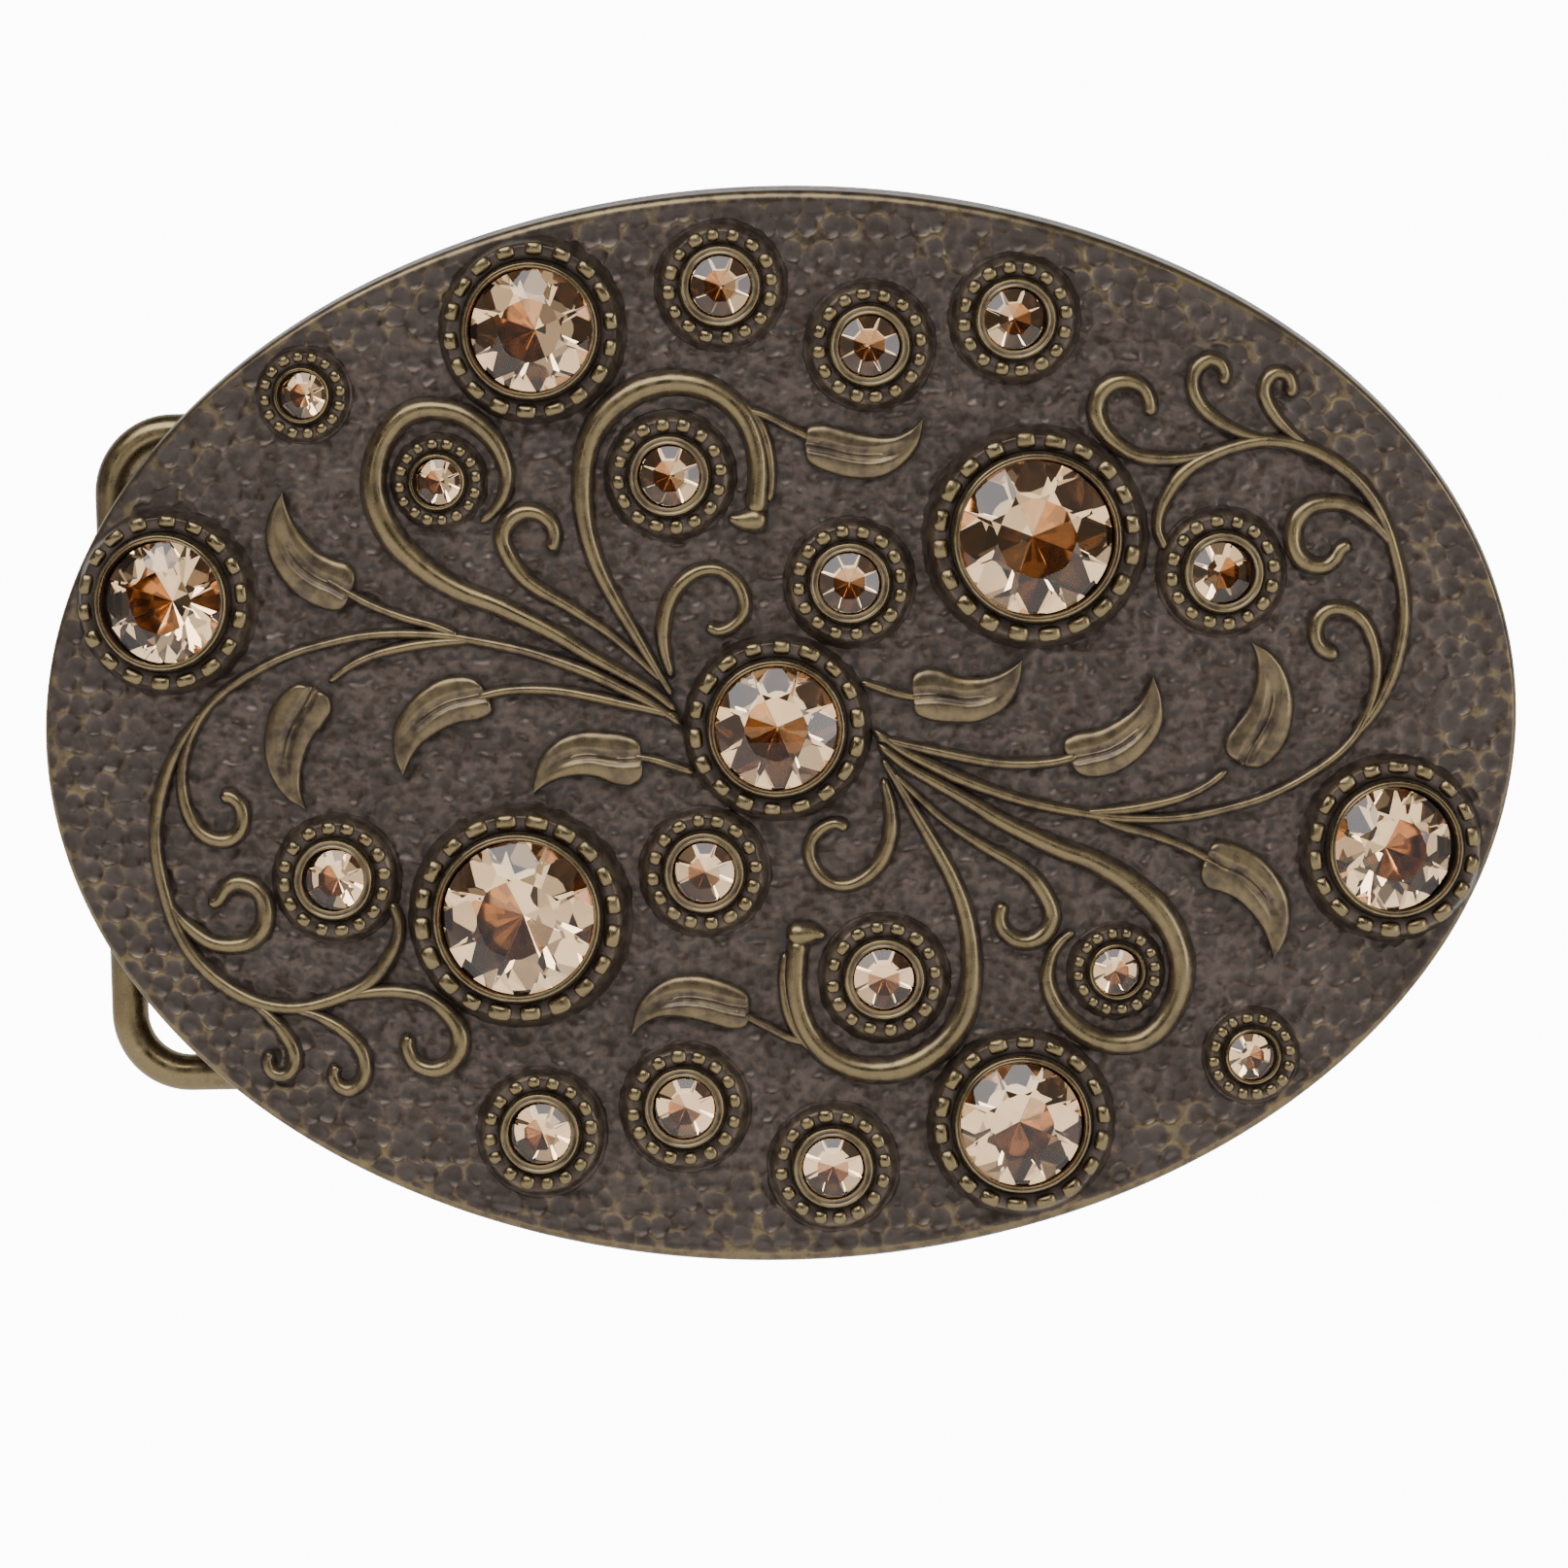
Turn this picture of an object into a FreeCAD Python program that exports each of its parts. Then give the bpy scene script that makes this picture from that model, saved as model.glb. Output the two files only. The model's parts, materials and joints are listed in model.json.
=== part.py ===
"""Oval dress buckle: a bent cast plate with set stones, a wire bail for the strap, and a hook.

Frame: millimetres, +X to the right of the face, +Z up, and the face looks along -Y.
The origin is the middle of the plate's back, where the strap lies against it.
"""

import FreeCAD
import Part
import math
import os

import Sketcher
from FreeCAD import Placement, Rotation, Vector

SIZES = [
    ("plate_width", 96.0, "oval, left to right"),
    ("plate_height", 69.7, "oval, bottom to top"),
    ("plate_thickness", 3.0, "wall of the casting, without its relief"),
    ("bend_radius", 225.0, "back of the plate, bent about an upright axis"),
    ("edge_round", 0.5, "front edge of the oval"),
    ("relief_height", 0.8, "scrolls and leaves above the ground"),
    ("bail_wire", 2.4, "wire diameter of the bail"),
    ("strap_width", 38.0, "leather strap that the bail takes"),
    ("strap_play", 0.8, "room beside the strap, each side"),
    ("bail_reach", 19.3, "hinge axis to the middle of the bail's far bar"),
    ("bail_corner", 4.0, "far corners of the bail, to the wire's middle"),
    ("bail_bend", 1.9, "bend from a leg into its trunnion, to the wire's middle"),
    ("bail_gap", 0.45, "far bar to the plate's back, folded out"),
    ("bail_drop", 1.1, "middle of the bail, below the middle of the plate"),
    ("hinge_place", 24.0, "hinge axis, left of the middle"),
    ("hinge_standoff", 3.0, "hinge axis behind the plate's back"),
    ("hinge_clearance", 0.06, "trunnion in its bore, all round"),
    ("lug_wall", 1.3, "metal round the hinge bore"),
    ("lug_thickness", 3.4, "each lug, along the hinge axis"),
    ("lug_gap", 0.25, "lug to the bail's bend"),
    ("trunnion_past", 0.4, "trunnion past the inner side of its lug"),
    ("hook_place", 33.0, "hook, right of the middle"),
    ("hook_radius", 2.0, "hook's peg"),
    ("hook_length", 6.0, "straight peg past its boss, without the round end"),
    ("hook_lean", 15.0, "degrees that the peg leans away from the middle"),
    ("boss_wall", 1.6, "metal round the hook's shank"),
    ("boss_height", 3.2, "boss above the plate's back"),
    ("shank_radius", 1.4, "hook's shank, narrower than its peg"),
    ("shank_depth", 3.6, "hook's shank below the top of the boss"),
    ("seat_clearance", 0.05, "stone in its cup, all round"),
    ("glue_film", 0.12, "adhesive under a stone, at its thinnest"),
    ("cup_floor", 0.45, "metal left behind the deepest cup"),
    ("large_stone", 4.93, "radius of a large stone"),
    ("large_rim", 5.50, "radius of its rim"),
    ("large_beads", 6.20, "radius of its ring of beads"),
    ("large_foot", 7.20, "radius of its foot"),
    ("large_height", 2.4, "its rim above the ground"),
    ("medium_stone", 3.93, "radius of a medium stone"),
    ("medium_rim", 4.48, "radius of its rim"),
    ("medium_beads", 5.24, "radius of its ring of beads"),
    ("medium_foot", 6.00, "radius of its foot"),
    ("medium_height", 2.1, "its rim above the ground"),
    ("small_stone", 1.92, "radius of a small stone"),
    ("small_rim", 2.66, "radius of its rim"),
    ("small_beads", 3.31, "radius of its ring of beads"),
    ("small_foot", 4.20, "radius of its foot"),
    ("small_height", 1.5, "its rim above the ground"),
    ("tiny_stone", 1.46, "radius of a tiny stone"),
    ("tiny_rim", 1.90, "radius of its rim"),
    ("tiny_beads", 2.49, "radius of its ring of beads"),
    ("tiny_foot", 3.10, "radius of its foot"),
    ("tiny_height", 1.2, "its rim above the ground"),
]

# The face's pattern is drawn for an oval of this size, and stretches with the plate.
PATTERN_WIDTH = 96.0
PATTERN_HEIGHT = 69.7

# The upper half of the stones: name, class, x, z. The lower half is this one turned half round.
SEATS = [
    ("side", "medium", -39.1, 9.05),
    ("edge", "medium", -14.9, 26.0),
    ("field", "large", 16.8, 11.8),
    ("rim_first", "small", -2.8, 28.5),
    ("rim_second", "small", 6.6, 24.4),
    ("rim_third", "small", 15.9, 25.85),
    ("scroll", "small", -6.4, 16.4),
    ("inner", "small", 4.9, 9.2),
    ("spray", "small", 28.7, 9.15),
    ("outer", "tiny", -29.85, 22.2),
    ("curl", "tiny", -21.3, 16.4),
]

# Half of the scrolls: the middle line, and the widths spread evenly along it.
SCROLLS = {
    "great_scroll": (
        [(-6.4, 1.2), (-8.2, 2.7), (-10, 3.8), (-12, 5.0), (-14, 6.3), (-16, 7.4), (-18, 8.4),
         (-20, 9.2), (-22, 10.4), (-24, 12.2), (-25.2, 14.1), (-25.7, 16.1), (-25.4, 18.1),
         (-24.5, 19.8), (-23.1, 20.9), (-21.3, 21.1), (-19.4, 20.5), (-17.8, 19.0), (-17.0, 17.1),
         (-17.2, 15.5), (-17.9, 14.4), (-18.8, 13.7)],
        (0.5, 0.9, 1.2, 1.5, 1.3, 1.2, 0.5),
    ),
    "small_scroll": (
        [(-7.3, 3.1), (-9, 4.8), (-10.5, 6.2), (-12, 7.3), (-13.5, 8.3), (-15, 9.2), (-16.2, 10.2),
         (-17.1, 11.6), (-17.4, 12.8), (-16.9, 13.8), (-16.0, 14.3), (-15.0, 14.2), (-14.2, 13.5),
         (-14.0, 12.6), (-14.3, 11.7)],
        (0.4, 0.6, 0.8, 1.0, 1.0, 0.8),
    ),
    "tall_scroll": (
        [(-6.7, 2.2), (-7.4, 3.4), (-8.3, 5.0), (-9.3, 6.8), (-10.3, 8.6), (-11.2, 10.5),
         (-11.8, 12.4), (-12.1, 14.3), (-12.1, 16.3), (-11.8, 18.1), (-11.1, 19.7), (-9.9, 21.0),
         (-8.2, 22.0), (-6.2, 22.4), (-4.2, 22.1), (-2.6, 21.2), (-1.5, 19.9), (-0.9, 18.3),
         (-0.7, 16.8), (-0.8, 15.2), (-1.0, 13.7)],
        (0.4, 0.8, 1.0, 1.2, 1.5, 1.4, 1.2, 1.2),
    ),
    "tall_scroll_edge": (
        [(-2.4, 21.4), (-1.2, 20.5), (-0.4, 19.2), (0.0, 17.6), (0.1, 16.0), (-0.1, 14.5)],
        (0.4, 0.7, 0.5),
    ),
    "tall_scroll_foot": (
        [(-0.2, 13.6), (-1.1, 13.4), (-2.0, 13.4), (-2.8, 13.6)],
        (1.3, 1.5, 1.1, 0.4),
    ),
    "near_curl": (
        [(-6.7, 3.4), (-7.1, 5.0), (-7.2, 6.3), (-7.0, 7.6), (-6.4, 8.9), (-5.5, 9.8),
         (-4.4, 10.3), (-3.3, 10.2), (-2.4, 9.5), (-1.9, 8.4), (-2.0, 7.4), (-2.7, 6.6),
         (-3.6, 6.3), (-4.4, 6.7)],
        (0.5, 0.9, 0.9, 0.8, 0.8, 0.7),
    ),
    "main_stem": (
        [(-6.1, 0.3), (-8, 1.7), (-10, 2.8), (-12, 3.8), (-14, 4.6), (-16, 5.3), (-18, 5.8),
         (-21, 6.4), (-23, 6.6), (-25, 6.65), (-27, 6.5), (-29, 6.1), (-31, 5.6), (-33, 4.8),
         (-35, 3.7), (-36.5, 2.6), (-37.6, 1.3), (-38.4, -0.4), (-38.8, -2), (-38.8, -3.5),
         (-38.4, -5.0), (-37.7, -6.0), (-36.8, -6.5), (-35.8, -6.5), (-35.1, -5.9), (-34.9, -5.0),
         (-35.1, -4.2), (-35.7, -3.7), (-36.4, -3.7)],
        (0.5, 0.8, 0.7, 0.6, 0.6, 0.6, 0.6, 0.9, 0.9),
    ),
    "outer_arc": (
        [(-37.2, 1.9), (-38.6, 0.2), (-39.7, -1.8), (-40.4, -4), (-40.7, -6), (-40.6, -8),
         (-40.2, -10), (-39.6, -12), (-38.7, -13.7), (-37.5, -15.1), (-36.1, -16.2),
         (-34.6, -17.0), (-33.2, -17.4), (-31.8, -17.5), (-30.4, -17.3), (-29, -16.9),
         (-27.6, -16.3), (-26.4, -15.4), (-25.6, -14.3), (-25.0, -13.1), (-24.9, -11.9),
         (-25.4, -10.7)],
        (0.5, 0.8, 0.8, 0.8, 0.9, 0.8, 0.9, 0.6),
    ),
    "arc_curl_side": (
        [(-40.1, -10.4), (-39.3, -11.5), (-38.3, -12.5), (-37.2, -13.2), (-36, -13.4),
         (-34.8, -13.2), (-33.9, -12.4), (-33.6, -11.3), (-33.8, -10.2), (-34.5, -9.5),
         (-35.5, -9.3), (-36.2, -9.7), (-36.7, -10.4), (-37.4, -10.7)],
        (0.5, 0.9, 1.0, 1.1, 1.0, 0.8),
    ),
    "arc_curl_low": (
        [(-34.6, -17.2), (-33.6, -18.0), (-32.7, -19.0), (-32.1, -20.1), (-32.0, -21.0),
         (-32.4, -21.7), (-33.0, -21.9), (-33.6, -21.6), (-33.8, -20.9), (-33.5, -20.3)],
        (0.5, 0.8, 0.9, 0.8, 0.7),
    ),
    "arc_curl_middle": (
        [(-32.0, -17.6), (-30.6, -18.0), (-29.2, -18.7), (-28.1, -19.6), (-27.5, -20.6),
         (-27.4, -21.7), (-27.8, -22.5), (-28.5, -22.9), (-29.2, -22.6), (-29.5, -21.9),
         (-29.2, -21.2)],
        (0.5, 0.8, 0.9, 0.9, 0.7),
    ),
    "arc_curl_far": (
        [(-29.6, -17.1), (-28, -16.75), (-26.5, -16.55), (-25, -16.55), (-23.4, -16.9),
         (-22.1, -17.8), (-21.3, -18.9), (-21.1, -20), (-21.5, -21.0), (-22.4, -21.6),
         (-23.4, -21.6), (-24.2, -21.1), (-24.6, -20.2), (-24.5, -19.3)],
        (0.5, 0.8, 0.9, 1.1, 1.0, 0.8),
    ),
    "high_leaf_stem": (
        [(-20.4, 6.4), (-22, 7.1), (-24, 7.7), (-26, 8.5), (-27.6, 9.4), (-29.0, 10.3)],
        (0.6, 0.6, 0.6, 0.5),
    ),
    "low_leaf_stem": (
        [(-19.6, 6.1), (-22, 6.0), (-24, 5.75), (-26, 5.3), (-27.6, 4.6), (-29.0, 3.6)],
        (0.5, 0.7, 0.6, 0.5),
    ),
    "middle_leaf_stem": (
        [(-6.3, 0.8), (-8, 1.3), (-10, 1.8), (-12, 2.3), (-14, 2.7), (-16, 2.85), (-17.8, 2.75),
         (-19.4, 2.4)],
        (0.5, 0.7, 0.7, 0.6),
    ),
    "near_leaf_stem": (
        [(-5.4, -2.8), (-6.8, -2.3), (-8, -1.9), (-9.4, -1.6)],
        (0.5, 0.6, 0.5),
    ),
    "top_leaf_stem": (
        [(-1.5, 20.5), (-0.2, 20.1), (1.1, 19.4), (2.6, 18.6), (3.4, 18.2)],
        (0.5, 0.6, 0.5),
    ),
}

# Half of the leaves: one side from the stalk to the tip, then the other side from the tip back.
LEAVES = {
    "high_leaf": (
        [(-27.1, 9.7), (-27.0, 10.6), (-27.4, 11.3), (-28.3, 11.6), (-29.3, 12.1), (-30.2, 13.0),
         (-30.9, 14.0), (-31.3, 15.0), (-31.6, 16.0)],
        [(-31.6, 16.0), (-32.3, 15.1), (-32.8, 13.8), (-32.8, 12.2), (-32.1, 10.6), (-31.0, 9.3),
         (-29.9, 8.6), (-28.8, 8.2), (-27.9, 8.3), (-27.5, 9.0)],
    ),
    "low_leaf": (
        [(-30.2, 3.6), (-31.4, 3.5), (-32.6, 2.4), (-33.2, 1.0), (-33.4, -0.8), (-33.0, -2.5),
         (-32.0, -3.9), (-30.7, -4.6)],
        [(-30.7, -4.6), (-31.0, -3.2), (-30.8, -1.6), (-30.2, -0.2), (-29.4, 0.8), (-28.8, 1.7),
         (-28.9, 2.6), (-29.5, 3.1)],
    ),
    "middle_leaf": (
        [(-18.9, 2.9), (-19.3, 3.6), (-20.3, 3.9), (-21.7, 3.7), (-23.1, 2.9), (-24.2, 1.8),
         (-24.9, 0.5), (-24.9, -1.2), (-24.3, -2.6)],
        [(-24.3, -2.6), (-23.3, -0.9), (-22, 0.1), (-20.6, 0.7), (-19.2, 0.9), (-18.4, 1.4),
         (-18.4, 2.2)],
    ),
    "near_leaf": (
        [(-8.9, -1.4), (-8.9, -0.6), (-9.9, -0.1), (-11.3, 0.1), (-12.8, 0.1), (-14.2, -0.4),
         (-15.2, -1.3), (-15.8, -2.6), (-15.9, -3.9)],
        [(-15.9, -3.9), (-14.6, -3.2), (-13.2, -2.9), (-11.8, -3.0), (-10.6, -3.5), (-9.6, -3.6),
         (-8.8, -3.1), (-8.8, -2.2)],
    ),
    "top_leaf": (
        [(2.4, 18.4), (2.5, 19.3), (3.6, 19.5), (5, 19.1), (6.5, 18.7), (8, 18.6), (9.1, 19.0),
         (10.0, 19.7)],
        [(10.0, 19.7), (9.7, 18.0), (8.7, 16.7), (7.2, 15.9), (5.5, 15.8), (3.7, 16.3),
         (2.5, 17.0), (2.2, 18.0)],
    ),
}

SUNK = 0.8  # depth that relief and settings run into the wall, so that they are one with it

# A setting's ring of beads, as cast: shares of the rim's height or the space there, and two sizes.
LEDGE_SHARE = 0.68
FOOT_SHARE = 0.3
RING_SHARE = 0.7
GROOVE_DEPTH = 0.22
RIM_BEVEL = 0.15


# ------------------------------------------------------------------ sheet and sketches


def make_sheet(doc):
    """The spreadsheet of driving sizes. Gives its values by name too."""
    sheet = doc.addObject("Spreadsheet::Sheet", "Sizes")
    for row, (alias, value, note) in enumerate(SIZES, start=1):
        sheet.set(f"A{row}", str(value))
        sheet.setAlias(f"A{row}", alias)
        sheet.set(f"B{row}", note)
    doc.recompute()
    return {alias: sheet.get(alias) for alias, _, _ in SIZES}


def new_body(doc, label):
    body = doc.addObject("PartDesign::Body", label)
    body.Label = label
    return body


def new_sketch(body, name, role, lift="0"):
    """A sketch on one of the body's own planes, lifted off it by an expression."""
    sketch = body.newObject("Sketcher::SketchObject", name)
    plane = next(f for f in body.Origin.OriginFeatures if f.Role == role)
    sketch.AttachmentSupport = [(plane, "")]
    sketch.MapMode = "FlatFace"
    sketch.setExpression("AttachmentOffset.Base.z", lift)
    return sketch


def hold(sketch, expression, kind, *places):
    """A sketch dimension that follows an expression of the sheet."""
    value = sketch.evalExpression(expression)
    index = sketch.addConstraint(Sketcher.Constraint(kind, *places, value))
    sketch.setExpression(f"Constraints[{index}]", expression)


def hold_point(sketch, shape, point, x, y):
    """Holds a point of a sketched shape at two expressions from the sketch's origin."""
    hold(sketch, x, "DistanceX", -1, 1, shape, point)
    hold(sketch, y, "DistanceY", -1, 1, shape, point)


def add_circle(sketch, x, y, radius):
    """A circle held by expressions."""
    value = sketch.evalExpression
    circle = sketch.addGeometry(Part.Circle(Vector(value(x), value(y), 0), Vector(0, 0, 1), value(radius)))
    hold_point(sketch, circle, 3, x, y)
    hold(sketch, radius, "Radius", circle)


def both_sides(feature, sketch, length):
    """Gives a pad or a pocket its sketch, and a length shared by the sketch's two sides."""
    feature.Profile = sketch
    feature.SideType = "Symmetric"
    feature.setExpression("Length", length)


# ------------------------------------------------------------------ places


class Places:
    """Where things sit on the bent plate, worked out from the sheet's values."""

    def __init__(self, s):
        self.s = s
        self.ground = s["bend_radius"] + s["plate_thickness"]
        self.middle = Vector(0, s["bend_radius"], 0)

    def pattern(self, x, z):
        """A point of the drawn pattern, stretched to the plate."""
        return x * self.s["plate_width"] / PATTERN_WIDTH, z * self.s["plate_height"] / PATTERN_HEIGHT

    def on_ground(self, x, z):
        """The face's ground at x and z, with Z along its outward normal."""
        lean = math.asin(x / self.ground)
        normal = Vector(math.sin(lean), -math.cos(lean), 0)
        across = Vector(math.cos(lean), math.sin(lean), 0)
        return Placement(
            self.middle + normal * self.ground + Vector(0, 0, z), Rotation(across, Vector(0, 0, 1), normal)
        )

    def back_depth(self, x):
        """Y of the plate's back at x."""
        return self.s["bend_radius"] - math.sqrt(self.s["bend_radius"] ** 2 - x**2)

    def hinge(self):
        """The middle of the bail's hinge axis."""
        x = -self.s["hinge_place"]
        return Vector(x, self.back_depth(x) + self.s["hinge_standoff"], -self.s["bail_drop"])

    def bail(self):
        """The folded bail, whose far bar is held bail_gap off the plate's back."""
        hinge = self.hinge()
        to_middle = self.middle - Vector(hinge.x, hinge.y, 0)
        bar_ring = self.s["bend_radius"] - self.s["bail_wire"] / 2 - self.s["bail_gap"]
        reach = self.s["bail_reach"]
        spread = math.acos(
            (to_middle.Length**2 + reach**2 - bar_ring**2) / (2 * to_middle.Length * reach)
        )
        towards_middle = math.atan2(to_middle.y, to_middle.x)
        lean = math.degrees(towards_middle + spread) - 180
        return Placement(hinge, Rotation(Vector(0, 0, 1), lean))

    def hook(self):
        """The hook's place on the plate's back, with Z along its leaning peg."""
        lean = math.radians(self.s["hook_lean"])
        x = self.s["hook_place"]
        axis = Vector(math.sin(lean), math.cos(lean), 0)
        across = Vector(math.cos(lean), -math.sin(lean), 0)
        return Placement(Vector(x, self.back_depth(x), 0), Rotation(across, Vector(0, 0, -1), axis))


def whole_pattern(places):
    """Every stone's name, class and placement: the drawn half, its half turn, and the middle one."""
    yield "stone_centre", "medium", places.on_ground(0, 0)
    for name, size, x, z in SEATS:
        x, z = places.pattern(x, z)
        yield f"stone_{name}_upper", size, places.on_ground(x, z)
        yield f"stone_{name}_lower", size, places.on_ground(-x, -z)


# ------------------------------------------------------------------ round shapes


def turned(points):
    """A solid turned about Z from its (radius, height) points."""
    corners = [Vector(radius, 0, height) for radius, height in points]
    return Part.Face(Part.makePolygon(corners + corners[:1])).revolve(Vector(), Vector(0, 0, 1), 360)


class Stone:
    """One class of stone: its radii, and its heights above the plate's ground."""

    CROWN_TILT = math.radians(31)
    STAR_TILT = math.radians(17)
    UPPER_TILT = math.radians(36)
    UNDER_TILT = math.radians(40)
    UNDER_HALF_TILT = math.radians(42.5)
    TABLE = 0.52  # shares of the stone's radius, as gems are cut
    STAR = 0.50
    GIRDLE = 0.06
    SET_BACK = 0.05
    FACETS = 8
    SMALLEST_TIP = 0.02

    def __init__(self, s, size):
        self.radius = s[f"{size}_stone"]
        self.clearance = s["seat_clearance"]
        self.film = s["glue_film"]
        self.rim = s[f"{size}_height"]
        self.girdle_top = self.rim - self.SET_BACK * self.radius
        self.girdle_low = self.girdle_top - self.GIRDLE * self.radius
        self.table_top = self.girdle_top + (1 - self.TABLE) * self.radius * math.tan(self.CROWN_TILT)
        floor = s["cup_floor"] - s["plate_thickness"]
        self.point = max(self.girdle_low - self.radius * math.tan(self.UNDER_TILT), floor + self.film)
        self.full = size in ("large", "medium")

    def grind(self, blank, count, first, tilt, radius, height):
        """Flat facets all round. Each leans by tilt and passes through radius at height."""
        block = 4 * self.radius
        for facet in range(count):
            around = math.radians(first + 360.0 * facet / count)
            outward = Vector(math.cos(around), math.sin(around), 0)
            normal = outward * math.sin(tilt) + Vector(0, 0, math.cos(tilt))
            waste = Part.makeBox(block, block, block, Vector(-block / 2, -block / 2, 0))
            waste.Placement = Placement(
                outward * radius + Vector(0, 0, height), Rotation(Vector(0, 0, 1), normal)
            )
            blank = blank.cut(waste)
        return blank

    def shape(self):
        """The cut stone, about Z."""
        depth = self.table_top - self.point
        stone = Part.makeCylinder(self.radius, depth, Vector(0, 0, self.point))
        step = 360.0 / self.FACETS
        top, low = self.girdle_top, self.girdle_low
        stone = self.grind(stone, self.FACETS, 0, self.CROWN_TILT, self.radius, top)
        stone = self.grind(stone, self.FACETS, 0, math.pi - self.UNDER_TILT, self.radius, low)
        if self.full:
            star = self.STAR * self.radius
            stone = self.grind(stone, self.FACETS, step / 2, self.STAR_TILT, star, self.table_top)
            for side in (-step / 4, step / 4):
                stone = self.grind(stone, self.FACETS, side, self.UPPER_TILT, self.radius, top)
                stone = self.grind(
                    stone, self.FACETS, side, math.pi - self.UNDER_HALF_TILT, self.radius, low
                )
        return stone

    def under(self, depth_past):
        """The cone that holds the stone's underside and its adhesive."""
        radius = self.radius + self.clearance
        corner = self.radius / math.cos(math.pi / self.FACETS)
        slope = math.tan(self.UNDER_TILT)
        low = self.girdle_low - depth_past
        shoulder = low - (corner - radius) * slope
        point = self.point - depth_past
        tip = max(corner - (low - point) / slope, self.SMALLEST_TIP * self.radius)
        return [(radius, shoulder), (tip, point), (0, point)]

    def cup(self):
        """The space for the stone and its adhesive, open to the front."""
        radius = self.radius + self.clearance
        mouth = self.rim + self.radius
        return turned([(0, mouth), (radius, mouth)] + self.under(self.film))

    def adhesive(self, stone):
        """What fills the cup round the stone's underside, up to its girdle."""
        radius = self.radius + self.clearance
        fill = turned([(0, self.girdle_low), (radius, self.girdle_low)] + self.under(self.film))
        return fill.cut(stone)


def setting(s, size):
    """One stone's setting: a sloping foot, a ring for the beads, a groove and the raised rim."""
    foot, beads, rim = s[f"{size}_foot"], s[f"{size}_beads"], s[f"{size}_rim"]
    height = s[f"{size}_height"]
    ledge = LEDGE_SHARE * height
    groove = ledge - GROOVE_DEPTH
    half_ring = min(foot - beads, beads - rim) * RING_SHARE
    return turned([
        (0, -SUNK),
        (foot, -SUNK),
        (foot, FOOT_SHARE * ledge),
        (beads + half_ring, groove),
        (beads + half_ring / 2, ledge),
        (beads - half_ring / 2, ledge),
        (beads - half_ring, groove),
        (rim, groove),
        (rim, height - RIM_BEVEL),
        (rim - RIM_BEVEL, height),
        (0, height),
    ])


# ------------------------------------------------------------------ scrolls and leaves


def smooth(points):
    """A smooth curve through (x, z) points of the face."""
    curve = Part.BSplineCurve()
    curve.interpolate([Vector(x, 0, z) for x, z in points])
    return curve


def ribbon(points, widths):
    """A flat outline along a scroll's middle line, with round ends."""
    middle = smooth(points)
    first, last = middle.FirstParameter, middle.LastParameter
    steps = 2 * len(points)
    left, right = [], []
    for step in range(steps + 1):
        share = step / steps
        place = middle.value(first + (last - first) * share)
        along = middle.tangent(first + (last - first) * share)[0]
        aside = Vector(-along.z, 0, along.x)
        slot = share * (len(widths) - 1)
        before = min(int(slot), len(widths) - 2)
        width = widths[before] + (widths[before + 1] - widths[before]) * (slot - before)
        left.append(place + aside * width / 2)
        right.append(place - aside * width / 2)
    tip = place + along * width / 2
    start = middle.value(first) - middle.tangent(first)[0] * widths[0] / 2
    sides = [Part.BSplineCurve(), Part.BSplineCurve()]
    sides[0].interpolate(left)
    sides[1].interpolate(right[::-1])
    edges = [
        sides[0].toShape(),
        Part.Arc(left[-1], tip, right[-1]).toShape(),
        sides[1].toShape(),
        Part.Arc(right[0], start, left[0]).toShape(),
    ]
    return Part.Face(Part.Wire(edges))


def leaf(out, back):
    """A flat leaf outline: out to the tip, back to the stalk, and a short foot across it."""
    foot = Part.makeLine(Vector(back[-1][0], 0, back[-1][1]), Vector(out[0][0], 0, out[0][1]))
    return Part.Face(Part.Wire([smooth(out).toShape(), smooth(back).toShape(), foot]))


def relief(s, places):
    """Scrolls and leaves, raised by the same height over the bent ground."""

    def stretched(points):
        return [places.pattern(x, z) for x, z in points]

    flat = [ribbon(stretched(points), widths) for points, widths in SCROLLS.values()]
    flat += [leaf(stretched(out), stretched(back)) for out, back in LEAVES.values()]
    half = flat[0].multiFuse(flat[1:]).removeSplitter()
    other = half.copy()
    other.rotate(Vector(), Vector(0, 1, 0), 180)
    depth = s["plate_width"] / 4
    prisms = half.fuse(other).extrude(Vector(0, 2 * depth, 0))
    prisms.translate(Vector(0, -depth, 0))
    tall = 2 * s["plate_height"]
    base = places.middle - Vector(0, 0, tall / 2)
    top = Part.makeCylinder(places.ground + s["relief_height"], tall, base)
    root = Part.makeCylinder(places.ground - SUNK, tall, base)
    return prisms.common(top.cut(root))


# ------------------------------------------------------------------ pieces


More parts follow.
